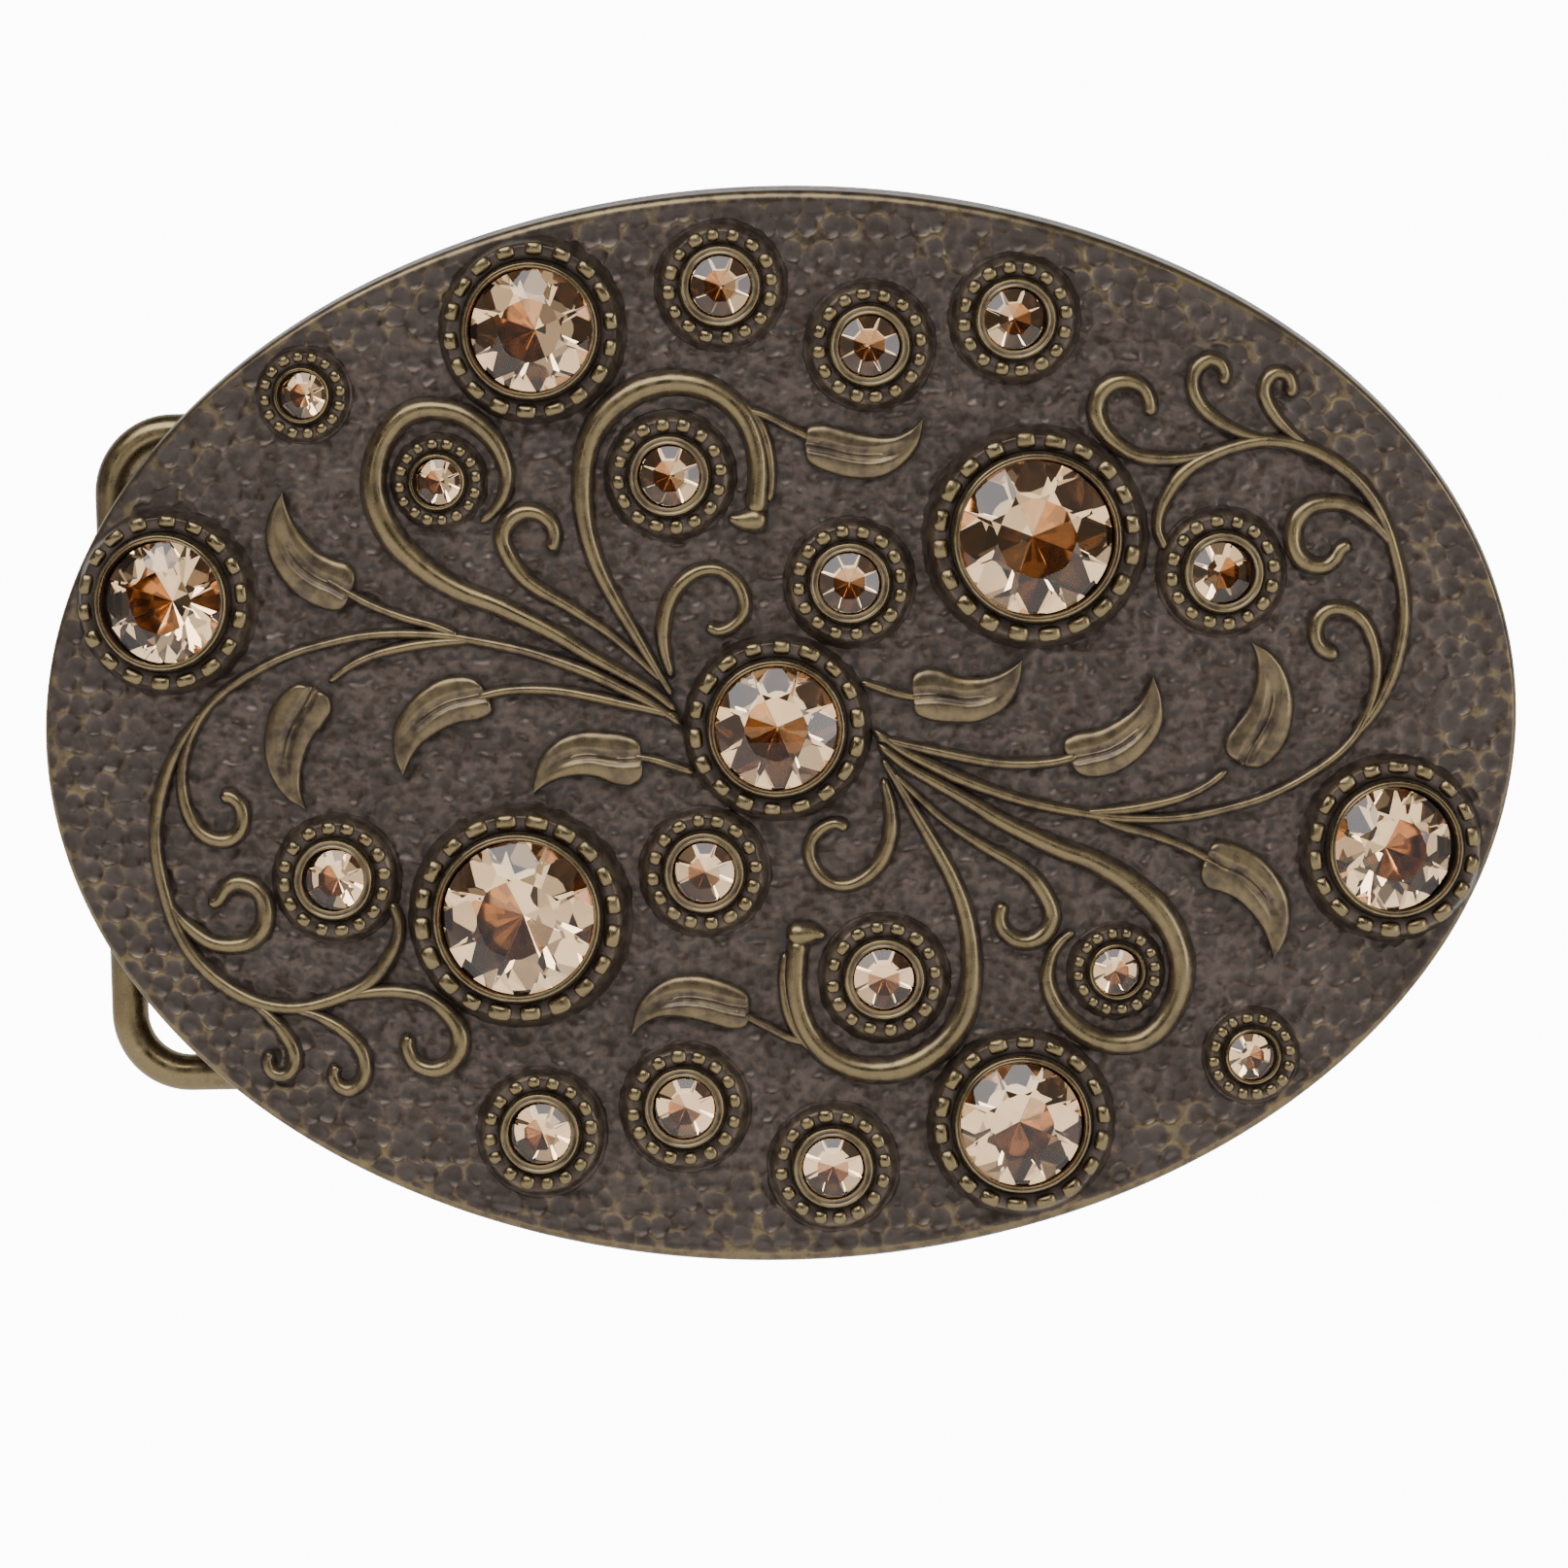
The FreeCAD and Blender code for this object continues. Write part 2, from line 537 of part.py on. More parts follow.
def make_blank(doc):
    """The oval wall: an oval pad, cut to the bend in front and behind, with its front edge eased."""
    body = new_body(doc, "oval_wall")
    outline = new_sketch(body, "oval_outline", "XZ_Plane")
    half_width = outline.evalExpression("Sizes.plate_width / 2")
    half_height = outline.evalExpression("Sizes.plate_height / 2")
    oval = outline.addGeometry(Part.Ellipse(Vector(half_width, 0, 0), Vector(0, half_height, 0), Vector()))
    outline.exposeInternalGeometry(oval)
    long_axis, short_axis = oval + 1, oval + 2
    outline.addConstraint(Sketcher.Constraint("Coincident", oval, 3, -1, 1))
    outline.addConstraint(Sketcher.Constraint("Horizontal", long_axis))
    hold(outline, "Sizes.plate_width", "Distance", long_axis)
    hold(outline, "Sizes.plate_height", "Distance", short_axis)
    both_sides(body.newObject("PartDesign::Pad", "oval_pad"), outline, "Sizes.plate_height")

    front = new_sketch(body, "front_bend", "XY_Plane")
    add_circle(front, "0", "Sizes.bend_radius", "Sizes.bend_radius + Sizes.plate_thickness")
    add_circle(front, "0", "Sizes.bend_radius", "Sizes.bend_radius * 2")
    both_sides(body.newObject("PartDesign::Pocket", "front_cut"), front, "Sizes.plate_height * 2")

    back = new_sketch(body, "back_bend", "XY_Plane")
    add_circle(back, "0", "Sizes.bend_radius", "Sizes.bend_radius")
    wall = body.newObject("PartDesign::Pocket", "back_cut")
    both_sides(wall, back, "Sizes.plate_height * 2")
    doc.recompute()

    ease = body.newObject("PartDesign::Fillet", "front_edge")
    edges = wall.Shape.Edges
    foremost = min(range(len(edges)), key=lambda index: edges[index].BoundBox.YMin)
    ease.Base = (wall, [f"Edge{foremost + 1}"])
    ease.setExpression("Radius", "Sizes.edge_round")
    return body


def make_lugs(doc, places):
    """Two ears on the back that hold the bail's trunnions, the second a mirror of the first."""
    body = new_body(doc, "upper_lug")
    hinge = places.hinge()
    low = "Sizes.strap_width / 2 + Sizes.strap_play + Sizes.bail_wire / 2 - Sizes.bail_bend"
    low += " - Sizes.lug_gap - Sizes.lug_thickness"
    sketch = new_sketch(body, "lug_outline", "XY_Plane", low)
    wide = "(Sizes.bail_wire / 2 + Sizes.hinge_clearance + Sizes.lug_wall)"
    root = "Sizes.hinge_standoff + Sizes.plate_thickness / 3"
    radius = sketch.evalExpression(wide)
    base = -sketch.evalExpression(root)
    ear = sketch.addGeometry(Part.ArcOfCircle(Part.Circle(Vector(), Vector(0, 0, 1), radius), 0, math.pi))
    left = sketch.addGeometry(Part.LineSegment(Vector(-radius, 0, 0), Vector(-radius, base, 0)))
    foot = sketch.addGeometry(Part.LineSegment(Vector(-radius, base, 0), Vector(radius, base, 0)))
    right = sketch.addGeometry(Part.LineSegment(Vector(radius, base, 0), Vector(radius, 0, 0)))
    sketch.addConstraint([
        Sketcher.Constraint("Coincident", ear, 3, -1, 1),
        Sketcher.Constraint("Tangent", ear, 2, left, 1),
        Sketcher.Constraint("Coincident", left, 2, foot, 1),
        Sketcher.Constraint("Coincident", foot, 2, right, 1),
        Sketcher.Constraint("Tangent", right, 2, ear, 1),
        Sketcher.Constraint("Horizontal", foot),
        Sketcher.Constraint("Vertical", left),
    ])
    hold(sketch, wide, "Radius", ear)
    hold(sketch, root, "DistanceY", left, 2, left, 1)
    pad = body.newObject("PartDesign::Pad", "lug_pad")
    pad.Profile = sketch
    pad.setExpression("Length", "Sizes.lug_thickness")
    body.Placement = Placement(hinge, Rotation())

    mirror = doc.addObject("Part::Mirroring", "lower_lug")
    mirror.Source = body
    mirror.Base = hinge
    mirror.Normal = Vector(0, 0, 1)
    return [body, mirror]


def make_boss(doc, s, places):
    """The boss on the back that holds the hook's shank."""
    boss = doc.addObject("Part::Cylinder", "hook_boss")
    boss.setExpression("Radius", "Sizes.hook_radius + Sizes.boss_wall")
    boss.setExpression("Height", "Sizes.boss_height + Sizes.plate_thickness / 2")
    boss.Placement = places.hook().multiply(Placement(Vector(0, 0, -s["plate_thickness"] / 2), Rotation()))
    return boss


def make_bores(doc, s, places):
    """The hinge bore through both lugs, and the hook's bore in its boss."""
    hinge_bore = doc.addObject("Part::Cylinder", "hinge_bore")
    hinge_bore.setExpression("Radius", "Sizes.bail_wire / 2 + Sizes.hinge_clearance")
    hinge_bore.setExpression("Height", "Sizes.strap_width")
    hinge_bore.Placement = Placement(places.hinge() - Vector(0, 0, s["strap_width"] / 2), Rotation())

    hook_bore = doc.addObject("Part::Cylinder", "hook_bore")
    hook_bore.setExpression("Radius", "Sizes.shank_radius")
    hook_bore.setExpression("Height", "Sizes.shank_depth + Sizes.boss_wall")
    shank_end = Vector(0, 0, s["boss_height"] - s["shank_depth"])
    hook_bore.Placement = places.hook().multiply(Placement(shank_end, Rotation()))
    return [hinge_bore, hook_bore]


def add_shape(doc, label, shape, placement=Placement()):
    feature = doc.addObject("Part::Feature", label)
    feature.Label = label
    feature.Shape = shape
    feature.Placement = placement
    return feature


def make_front_plate(doc, s, places, stones):
    """The casting: wall, relief, settings, lugs and boss as one, less its cups and bores."""
    settings = {size: setting(s, size) for size in ("large", "medium", "small", "tiny")}
    raised = [make_blank(doc)]
    raised += make_lugs(doc, places)
    raised.append(make_boss(doc, s, places))
    raised.append(add_shape(doc, "relief", relief(s, places)))
    hollows = make_bores(doc, s, places)
    for name, size, placement in whole_pattern(places):
        place = name.replace("stone_", "")
        raised.append(add_shape(doc, f"setting_{place}", settings[size], placement))
        hollows.append(add_shape(doc, f"cup_{place}", stones[size].cup(), placement))
    casting = doc.addObject("Part::MultiFuse", "casting")
    casting.Shapes = raised
    waste = doc.addObject("Part::MultiFuse", "waste")
    waste.Shapes = hollows
    plate = doc.addObject("Part::Cut", "front_plate")
    plate.Base = casting
    plate.Tool = waste
    plate.Label = "front_plate"
    return plate


def make_bail(doc, places):
    """The wire bail: a sprung loop, open between its two inward trunnions."""
    body = new_body(doc, "belt_bail")
    leg = "(Sizes.strap_width / 2 + Sizes.strap_play + Sizes.bail_wire / 2)"
    tip = f"({leg} - Sizes.bail_bend - Sizes.lug_gap - Sizes.lug_thickness - Sizes.trunnion_past)"
    path = new_sketch(body, "wire_path", "XZ_Plane")
    value = path.evalExpression
    half, end = value(leg), value(tip)
    bend, corner, reach = (value(f"Sizes.{name}") for name in ("bail_bend", "bail_corner", "bail_reach"))

    def line(x1, y1, x2, y2):
        return path.addGeometry(Part.LineSegment(Vector(x1, y1, 0), Vector(x2, y2, 0)))

    def arc(x, y, radius, start):
        circle = Part.Circle(Vector(x, y, 0), Vector(0, 0, 1), radius)
        return path.addGeometry(Part.ArcOfCircle(circle, start, start + math.pi / 2))

    upper_pin = line(0, end, 0, half - bend)
    upper_bend = arc(-bend, half - bend, bend, 0)
    upper_leg = line(-bend, half, corner - reach, half)
    upper_corner = arc(corner - reach, half - corner, corner, math.pi / 2)
    far_bar = line(-reach, half - corner, -reach, corner - half)
    lower_corner = arc(corner - reach, corner - half, corner, math.pi)
    lower_leg = line(corner - reach, -half, -bend, -half)
    lower_bend = arc(-bend, bend - half, bend, 1.5 * math.pi)
    lower_pin = line(0, bend - half, 0, -end)
    chain = [
        (upper_pin, 2, upper_bend, 1),
        (upper_bend, 2, upper_leg, 1),
        (upper_leg, 2, upper_corner, 1),
        (upper_corner, 2, far_bar, 1),
        (far_bar, 2, lower_corner, 1),
        (lower_corner, 2, lower_leg, 1),
        (lower_leg, 2, lower_bend, 1),
        (lower_bend, 2, lower_pin, 1),
    ]
    for first, first_end, second, second_end in chain:
        path.addConstraint(Sketcher.Constraint("Tangent", first, first_end, second, second_end))
    path.addConstraint([
        Sketcher.Constraint("Vertical", upper_pin),
        Sketcher.Constraint("Vertical", far_bar),
        Sketcher.Constraint("Horizontal", upper_leg),
        Sketcher.Constraint("Horizontal", lower_leg),
        Sketcher.Constraint("Vertical", lower_pin),
        Sketcher.Constraint("PointOnObject", upper_pin, 1, -2),
        Sketcher.Constraint("PointOnObject", lower_pin, 2, -2),
        Sketcher.Constraint("Equal", upper_bend, lower_bend),
        Sketcher.Constraint("Equal", upper_corner, lower_corner),
    ])
    hold(path, "Sizes.bail_bend", "Radius", upper_bend)
    hold(path, "Sizes.bail_corner", "Radius", upper_corner)
    hold(path, "Sizes.bail_reach", "DistanceX", far_bar, 1, -1, 1)
    hold(path, leg, "DistanceY", -1, 1, upper_leg, 1)
    hold(path, leg, "DistanceY", lower_leg, 1, -1, 1)
    hold(path, tip, "DistanceY", -1, 1, upper_pin, 1)
    hold(path, tip, "DistanceY", lower_pin, 2, -1, 1)

    section = new_sketch(body, "wire_section", "XY_Plane", tip)
    add_circle(section, "0", "0", "Sizes.bail_wire / 2")
    wire = body.newObject("PartDesign::AdditivePipe", "wire")
    wire.Profile = section
    wire.Spine = (path, [])
    body.Placement = places.bail()
    return body


def make_hook(doc, places):
    """The hook: a round-ended peg, turned in one with its narrower shank."""
    body = new_body(doc, "hook_stud")
    sketch = new_sketch(body, "hook_profile", "XZ_Plane")
    shoulder = "Sizes.boss_height"
    top = "Sizes.boss_height + Sizes.hook_length"
    low = "Sizes.boss_height - Sizes.shank_depth"
    value = sketch.evalExpression
    peg_radius, shank_radius = value("Sizes.hook_radius"), value("Sizes.shank_radius")
    corners = [
        (0, value(top) + peg_radius),
        (0, value(low)),
        (shank_radius, value(low)),
        (shank_radius, value(shoulder)),
        (peg_radius, value(shoulder)),
        (peg_radius, value(top)),
    ]
    lines = [
        sketch.addGeometry(Part.LineSegment(Vector(*start, 0), Vector(*end, 0)))
        for start, end in zip(corners, corners[1:])
    ]
    circle = Part.Circle(Vector(0, value(top), 0), Vector(0, 0, 1), peg_radius)
    dome = sketch.addGeometry(Part.ArcOfCircle(circle, 0, math.pi / 2))
    axis, end, shank, step, side = lines
    for first, second in zip(lines, lines[1:]):
        sketch.addConstraint(Sketcher.Constraint("Coincident", first, 2, second, 1))
    sketch.addConstraint([
        Sketcher.Constraint("Tangent", side, 2, dome, 1),
        Sketcher.Constraint("Coincident", dome, 2, axis, 1),
        Sketcher.Constraint("PointOnObject", dome, 3, -2),
        Sketcher.Constraint("PointOnObject", axis, 1, -2),
        Sketcher.Constraint("PointOnObject", axis, 2, -2),
        Sketcher.Constraint("Horizontal", end),
        Sketcher.Constraint("Horizontal", step),
        Sketcher.Constraint("Vertical", shank),
        Sketcher.Constraint("Vertical", side),
    ])
    hold(sketch, "Sizes.hook_radius", "Radius", dome)
    hold(sketch, "Sizes.shank_radius", "DistanceX", -1, 1, shank, 1)
    hold(sketch, top, "DistanceY", -1, 1, dome, 3)
    hold(sketch, shoulder, "DistanceY", -1, 1, step, 1)
    hold(sketch, low, "DistanceY", -1, 1, axis, 2)
    peg = body.newObject("PartDesign::Revolution", "peg")
    peg.Profile = sketch
    peg.ReferenceAxis = (sketch, ["V_Axis"])
    peg.Angle = 360
    body.Placement = places.hook()
    return body


def make_stones(doc, s, places, stones):
    """Every stone in its own piece, and one piece for the adhesive under all of them."""
    cut = {size: stone.shape() for size, stone in stones.items()}
    fill = {size: stones[size].adhesive(shape) for size, shape in cut.items()}
    pieces, pads = [], []
    for name, size, placement in whole_pattern(places):
        pieces.append(add_shape(doc, name, cut[size].copy(), placement))
        pad = fill[size].copy()
        pad.Placement = placement
        pads.append(pad)
    pieces.append(add_shape(doc, "seat_adhesive", Part.makeCompound(pads)))
    return pieces


def check_and_write(doc, pieces):
    """Stops at any failed object or poor shape, then writes every piece to its file."""
    failed = [obj.Label for obj in doc.Objects if {"Invalid", "Error"} & set(obj.State)]
    failed += [piece.Label for piece in pieces if piece.Shape.isNull() or not piece.Shape.isValid()]
    if failed:
        raise RuntimeError("failed: " + ", ".join(failed))
    os.makedirs("parts", exist_ok=True)
    for piece in pieces:
        piece.Shape.exportStep(os.path.join("parts", piece.Label + ".step"))


def main():
    doc = FreeCAD.newDocument("dress_buckle")
    s = make_sheet(doc)
    places = Places(s)
    stones = {size: Stone(s, size) for size in ("large", "medium", "small", "tiny")}
    pieces = [make_front_plate(doc, s, places, stones), make_bail(doc, places), make_hook(doc, places)]
    pieces += make_stones(doc, s, places, stones)
    doc.recompute()
    check_and_write(doc, pieces)
    for piece in pieces:
        print(piece.Label, round(piece.Shape.Volume, 3), len(piece.Shape.Solids))


main()
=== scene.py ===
"""Dress buckle: the looks of an oval bent plate with scrolls, beaded settings and glass stones.

Everything is in metres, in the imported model's own frame: +X to the right of the face, +Z up,
and the face looks along -Y.
"""

import json
import math
import random

import bpy
import numpy as np
from bpy.props import FloatProperty, FloatVectorProperty, IntProperty, PointerProperty
from mathutils import Matrix, Vector, kdtree, noise


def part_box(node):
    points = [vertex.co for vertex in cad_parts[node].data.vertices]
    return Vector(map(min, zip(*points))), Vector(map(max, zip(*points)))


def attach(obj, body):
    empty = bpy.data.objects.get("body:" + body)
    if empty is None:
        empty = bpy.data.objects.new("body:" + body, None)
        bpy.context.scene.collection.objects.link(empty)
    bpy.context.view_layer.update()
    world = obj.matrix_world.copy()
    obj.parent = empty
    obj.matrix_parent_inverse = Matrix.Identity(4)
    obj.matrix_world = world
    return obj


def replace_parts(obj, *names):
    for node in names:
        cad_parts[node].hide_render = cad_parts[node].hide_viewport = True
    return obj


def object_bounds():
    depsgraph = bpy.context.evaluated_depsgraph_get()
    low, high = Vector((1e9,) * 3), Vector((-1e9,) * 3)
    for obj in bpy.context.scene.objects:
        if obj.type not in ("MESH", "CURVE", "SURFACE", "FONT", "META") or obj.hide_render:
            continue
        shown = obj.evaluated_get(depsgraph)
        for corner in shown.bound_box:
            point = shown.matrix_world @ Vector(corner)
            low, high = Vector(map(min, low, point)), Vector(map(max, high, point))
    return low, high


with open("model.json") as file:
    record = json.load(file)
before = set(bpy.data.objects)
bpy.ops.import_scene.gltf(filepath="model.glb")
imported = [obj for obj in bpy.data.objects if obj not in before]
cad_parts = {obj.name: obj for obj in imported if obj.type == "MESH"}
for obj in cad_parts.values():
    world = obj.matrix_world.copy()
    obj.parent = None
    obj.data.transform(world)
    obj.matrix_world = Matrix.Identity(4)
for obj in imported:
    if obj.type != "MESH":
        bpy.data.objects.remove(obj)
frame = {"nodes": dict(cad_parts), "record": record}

CAD_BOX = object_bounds()
MM = 0.001
PAVILION_SLOPE = math.tan(math.radians(40))
PLATE_LOW, PLATE_HIGH = (Vector(corner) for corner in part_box("front_plate"))
HINGE = Vector(frame["record"]["behaviour"]["joints"][0]["pos_m"])
MOUNTS = {mount["name"]: mount for mount in frame["record"]["mounts"]}

bl_info = {
    "name": "Dress buckle",
    "version": (1, 0, 0),
    "blender": (4, 5, 0),
    "location": "3D View > Sidebar > Buckle",
    "description": "Models and finishes an oval dress buckle round its packed solids",
    "category": "Object",
}

# Half of the scrolls, in millimetres on the face: the middle line, and widths spread evenly along it.
SCROLLS = {
    "great_scroll": (
        [(-6.4, 1.2), (-8.2, 2.7), (-10, 3.8), (-12, 5.0), (-14, 6.3), (-16, 7.4), (-18, 8.4),
         (-20, 9.2), (-22, 10.4), (-24, 12.2), (-25.2, 14.1), (-25.7, 16.1), (-25.4, 18.1),
         (-24.5, 19.8), (-23.1, 20.9), (-21.3, 21.1), (-19.4, 20.5), (-17.8, 19.0), (-17.0, 17.1),
         (-17.2, 15.5), (-17.9, 14.4), (-18.8, 13.7)],
        (0.5, 0.9, 1.2, 1.5, 1.3, 1.2, 0.5),
    ),
    "small_scroll": (
        [(-7.3, 3.1), (-9, 4.8), (-10.5, 6.2), (-12, 7.3), (-13.5, 8.3), (-15, 9.2), (-16.2, 10.2),
         (-17.1, 11.6), (-17.4, 12.8), (-16.9, 13.8), (-16.0, 14.3), (-15.0, 14.2), (-14.2, 13.5),
         (-14.0, 12.6), (-14.3, 11.7)],
        (0.4, 0.6, 0.8, 1.0, 1.0, 0.8),
    ),
    "tall_scroll": (
        [(-6.7, 2.2), (-7.4, 3.4), (-8.3, 5.0), (-9.3, 6.8), (-10.3, 8.6), (-11.2, 10.5),
         (-11.8, 12.4), (-12.1, 14.3), (-12.1, 16.3), (-11.8, 18.1), (-11.1, 19.7), (-9.9, 21.0),
         (-8.2, 22.0), (-6.2, 22.4), (-4.2, 22.1), (-2.6, 21.2), (-1.5, 19.9), (-0.9, 18.3),
         (-0.7, 16.8), (-0.8, 15.2), (-1.0, 13.7)],
        (0.4, 0.8, 1.0, 1.2, 1.5, 1.4, 1.2, 1.2),
    ),
    "tall_scroll_edge": (
        [(-2.4, 21.4), (-1.2, 20.5), (-0.4, 19.2), (0.0, 17.6), (0.1, 16.0), (-0.1, 14.5)],
        (0.4, 0.7, 0.5),
    ),
    "tall_scroll_foot": (
        [(-0.2, 13.6), (-1.1, 13.4), (-2.0, 13.4), (-2.8, 13.6)],
        (1.3, 1.5, 1.1, 0.4),
    ),
    "near_curl": (
        [(-6.7, 3.4), (-7.1, 5.0), (-7.2, 6.3), (-7.0, 7.6), (-6.4, 8.9), (-5.5, 9.8),
         (-4.4, 10.3), (-3.3, 10.2), (-2.4, 9.5), (-1.9, 8.4), (-2.0, 7.4), (-2.7, 6.6),
         (-3.6, 6.3), (-4.4, 6.7)],
        (0.5, 0.9, 0.9, 0.8, 0.8, 0.7),
    ),
    "main_stem": (
        [(-6.1, 0.3), (-8, 1.7), (-10, 2.8), (-12, 3.8), (-14, 4.6), (-16, 5.3), (-18, 5.8),
         (-21, 6.4), (-23, 6.6), (-25, 6.65), (-27, 6.5), (-29, 6.1), (-31, 5.6), (-33, 4.8),
         (-35, 3.7), (-36.5, 2.6), (-37.6, 1.3), (-38.4, -0.4), (-38.8, -2), (-38.8, -3.5),
         (-38.4, -5.0), (-37.7, -6.0), (-36.8, -6.5), (-35.8, -6.5), (-35.1, -5.9), (-34.9, -5.0),
         (-35.1, -4.2), (-35.7, -3.7), (-36.4, -3.7)],
        (0.5, 0.8, 0.7, 0.6, 0.6, 0.6, 0.6, 0.9, 0.9),
    ),
    "outer_arc": (
        [(-37.2, 1.9), (-38.6, 0.2), (-39.7, -1.8), (-40.4, -4), (-40.7, -6), (-40.6, -8),
         (-40.2, -10), (-39.6, -12), (-38.7, -13.7), (-37.5, -15.1), (-36.1, -16.2),
         (-34.6, -17.0), (-33.2, -17.4), (-31.8, -17.5), (-30.4, -17.3), (-29, -16.9),
         (-27.6, -16.3), (-26.4, -15.4), (-25.6, -14.3), (-25.0, -13.1), (-24.9, -11.9),
         (-25.4, -10.7)],
        (0.5, 0.8, 0.8, 0.8, 0.9, 0.8, 0.9, 0.6),
    ),
    "arc_curl_side": (
        [(-40.1, -10.4), (-39.3, -11.5), (-38.3, -12.5), (-37.2, -13.2), (-36, -13.4),
         (-34.8, -13.2), (-33.9, -12.4), (-33.6, -11.3), (-33.8, -10.2), (-34.5, -9.5),
         (-35.5, -9.3), (-36.2, -9.7), (-36.7, -10.4), (-37.4, -10.7)],
        (0.5, 0.9, 1.0, 1.1, 1.0, 0.8),
    ),
    "arc_curl_low": (
        [(-34.6, -17.2), (-33.6, -18.0), (-32.7, -19.0), (-32.1, -20.1), (-32.0, -21.0),
         (-32.4, -21.7), (-33.0, -21.9), (-33.6, -21.6), (-33.8, -20.9), (-33.5, -20.3)],
        (0.5, 0.8, 0.9, 0.8, 0.7),
    ),
    "arc_curl_middle": (
        [(-32.0, -17.6), (-30.6, -18.0), (-29.2, -18.7), (-28.1, -19.6), (-27.5, -20.6),
         (-27.4, -21.7), (-27.8, -22.5), (-28.5, -22.9), (-29.2, -22.6), (-29.5, -21.9),
         (-29.2, -21.2)],
        (0.5, 0.8, 0.9, 0.9, 0.7),
    ),
    "arc_curl_far": (
        [(-29.6, -17.1), (-28, -16.75), (-26.5, -16.55), (-25, -16.55), (-23.4, -16.9),
         (-22.1, -17.8), (-21.3, -18.9), (-21.1, -20), (-21.5, -21.0), (-22.4, -21.6),
         (-23.4, -21.6), (-24.2, -21.1), (-24.6, -20.2), (-24.5, -19.3)],
        (0.5, 0.8, 0.9, 1.1, 1.0, 0.8),
    ),
    "high_leaf_stem": (
        [(-20.4, 6.4), (-22, 7.1), (-24, 7.7), (-26, 8.5), (-27.6, 9.4), (-29.0, 10.3)],
        (0.6, 0.6, 0.6, 0.5),
    ),
    "low_leaf_stem": (
        [(-19.6, 6.1), (-22, 6.0), (-24, 5.75), (-26, 5.3), (-27.6, 4.6), (-29.0, 3.6)],
        (0.5, 0.7, 0.6, 0.5),
    ),
    "middle_leaf_stem": (
        [(-6.3, 0.8), (-8, 1.3), (-10, 1.8), (-12, 2.3), (-14, 2.7), (-16, 2.85), (-17.8, 2.75),
         (-19.4, 2.4)],
        (0.5, 0.7, 0.7, 0.6),
    ),
    "near_leaf_stem": (
        [(-5.4, -2.8), (-6.8, -2.3), (-8, -1.9), (-9.4, -1.6)],
        (0.5, 0.6, 0.5),
    ),
    "top_leaf_stem": (
        [(-1.5, 20.5), (-0.2, 20.1), (1.1, 19.4), (2.6, 18.6), (3.4, 18.2)],
        (0.5, 0.6, 0.5),
    ),
}

# Half of the leaves: one side from the stalk to the tip, then the other side from the tip back.
LEAVES = {
    "high_leaf": (
        [(-27.1, 9.7), (-27.0, 10.6), (-27.4, 11.3), (-28.3, 11.6), (-29.3, 12.1), (-30.2, 13.0),
         (-30.9, 14.0), (-31.3, 15.0), (-31.6, 16.0)],
        [(-31.6, 16.0), (-32.3, 15.1), (-32.8, 13.8), (-32.8, 12.2), (-32.1, 10.6), (-31.0, 9.3),
         (-29.9, 8.6), (-28.8, 8.2), (-27.9, 8.3), (-27.5, 9.0)],
    ),
    "low_leaf": (
        [(-30.2, 3.6), (-31.4, 3.5), (-32.6, 2.4), (-33.2, 1.0), (-33.4, -0.8), (-33.0, -2.5),
         (-32.0, -3.9), (-30.7, -4.6)],
        [(-30.7, -4.6), (-31.0, -3.2), (-30.8, -1.6), (-30.2, -0.2), (-29.4, 0.8), (-28.8, 1.7),
         (-28.9, 2.6), (-29.5, 3.1)],
    ),
    "middle_leaf": (
        [(-18.9, 2.9), (-19.3, 3.6), (-20.3, 3.9), (-21.7, 3.7), (-23.1, 2.9), (-24.2, 1.8),
         (-24.9, 0.5), (-24.9, -1.2), (-24.3, -2.6)],
        [(-24.3, -2.6), (-23.3, -0.9), (-22, 0.1), (-20.6, 0.7), (-19.2, 0.9), (-18.4, 1.4),
         (-18.4, 2.2)],
    ),
    "near_leaf": (
        [(-8.9, -1.4), (-8.9, -0.6), (-9.9, -0.1), (-11.3, 0.1), (-12.8, 0.1), (-14.2, -0.4),
         (-15.2, -1.3), (-15.8, -2.6), (-15.9, -3.9)],
        [(-15.9, -3.9), (-14.6, -3.2), (-13.2, -2.9), (-11.8, -3.0), (-10.6, -3.5), (-9.6, -3.6),
         (-8.8, -3.1), (-8.8, -2.2)],
    ),
    "top_leaf": (
        [(2.4, 18.4), (2.5, 19.3), (3.6, 19.5), (5, 19.1), (6.5, 18.7), (8, 18.6), (9.1, 19.0),
         (10.0, 19.7)],
        [(10.0, 19.7), (9.7, 18.0), (8.7, 16.7), (7.2, 15.9), (5.5, 15.8), (3.7, 16.3),
         (2.5, 17.0), (2.2, 18.0)],
    ),
}


# The two halves of every ornament: as drawn, and turned a half turn about the middle.
SIDES = (1, -1)


# ------------------------------------------------------------------ sizes and finishes


def length(name, description, default):
    """A size, in metres."""
    return FloatProperty(name=name, description=description, default=default, unit="LENGTH")


def colour(name, description, default):
    """A linear colour."""
    return FloatVectorProperty(name=name, description=description, default=default, subtype="COLOR")


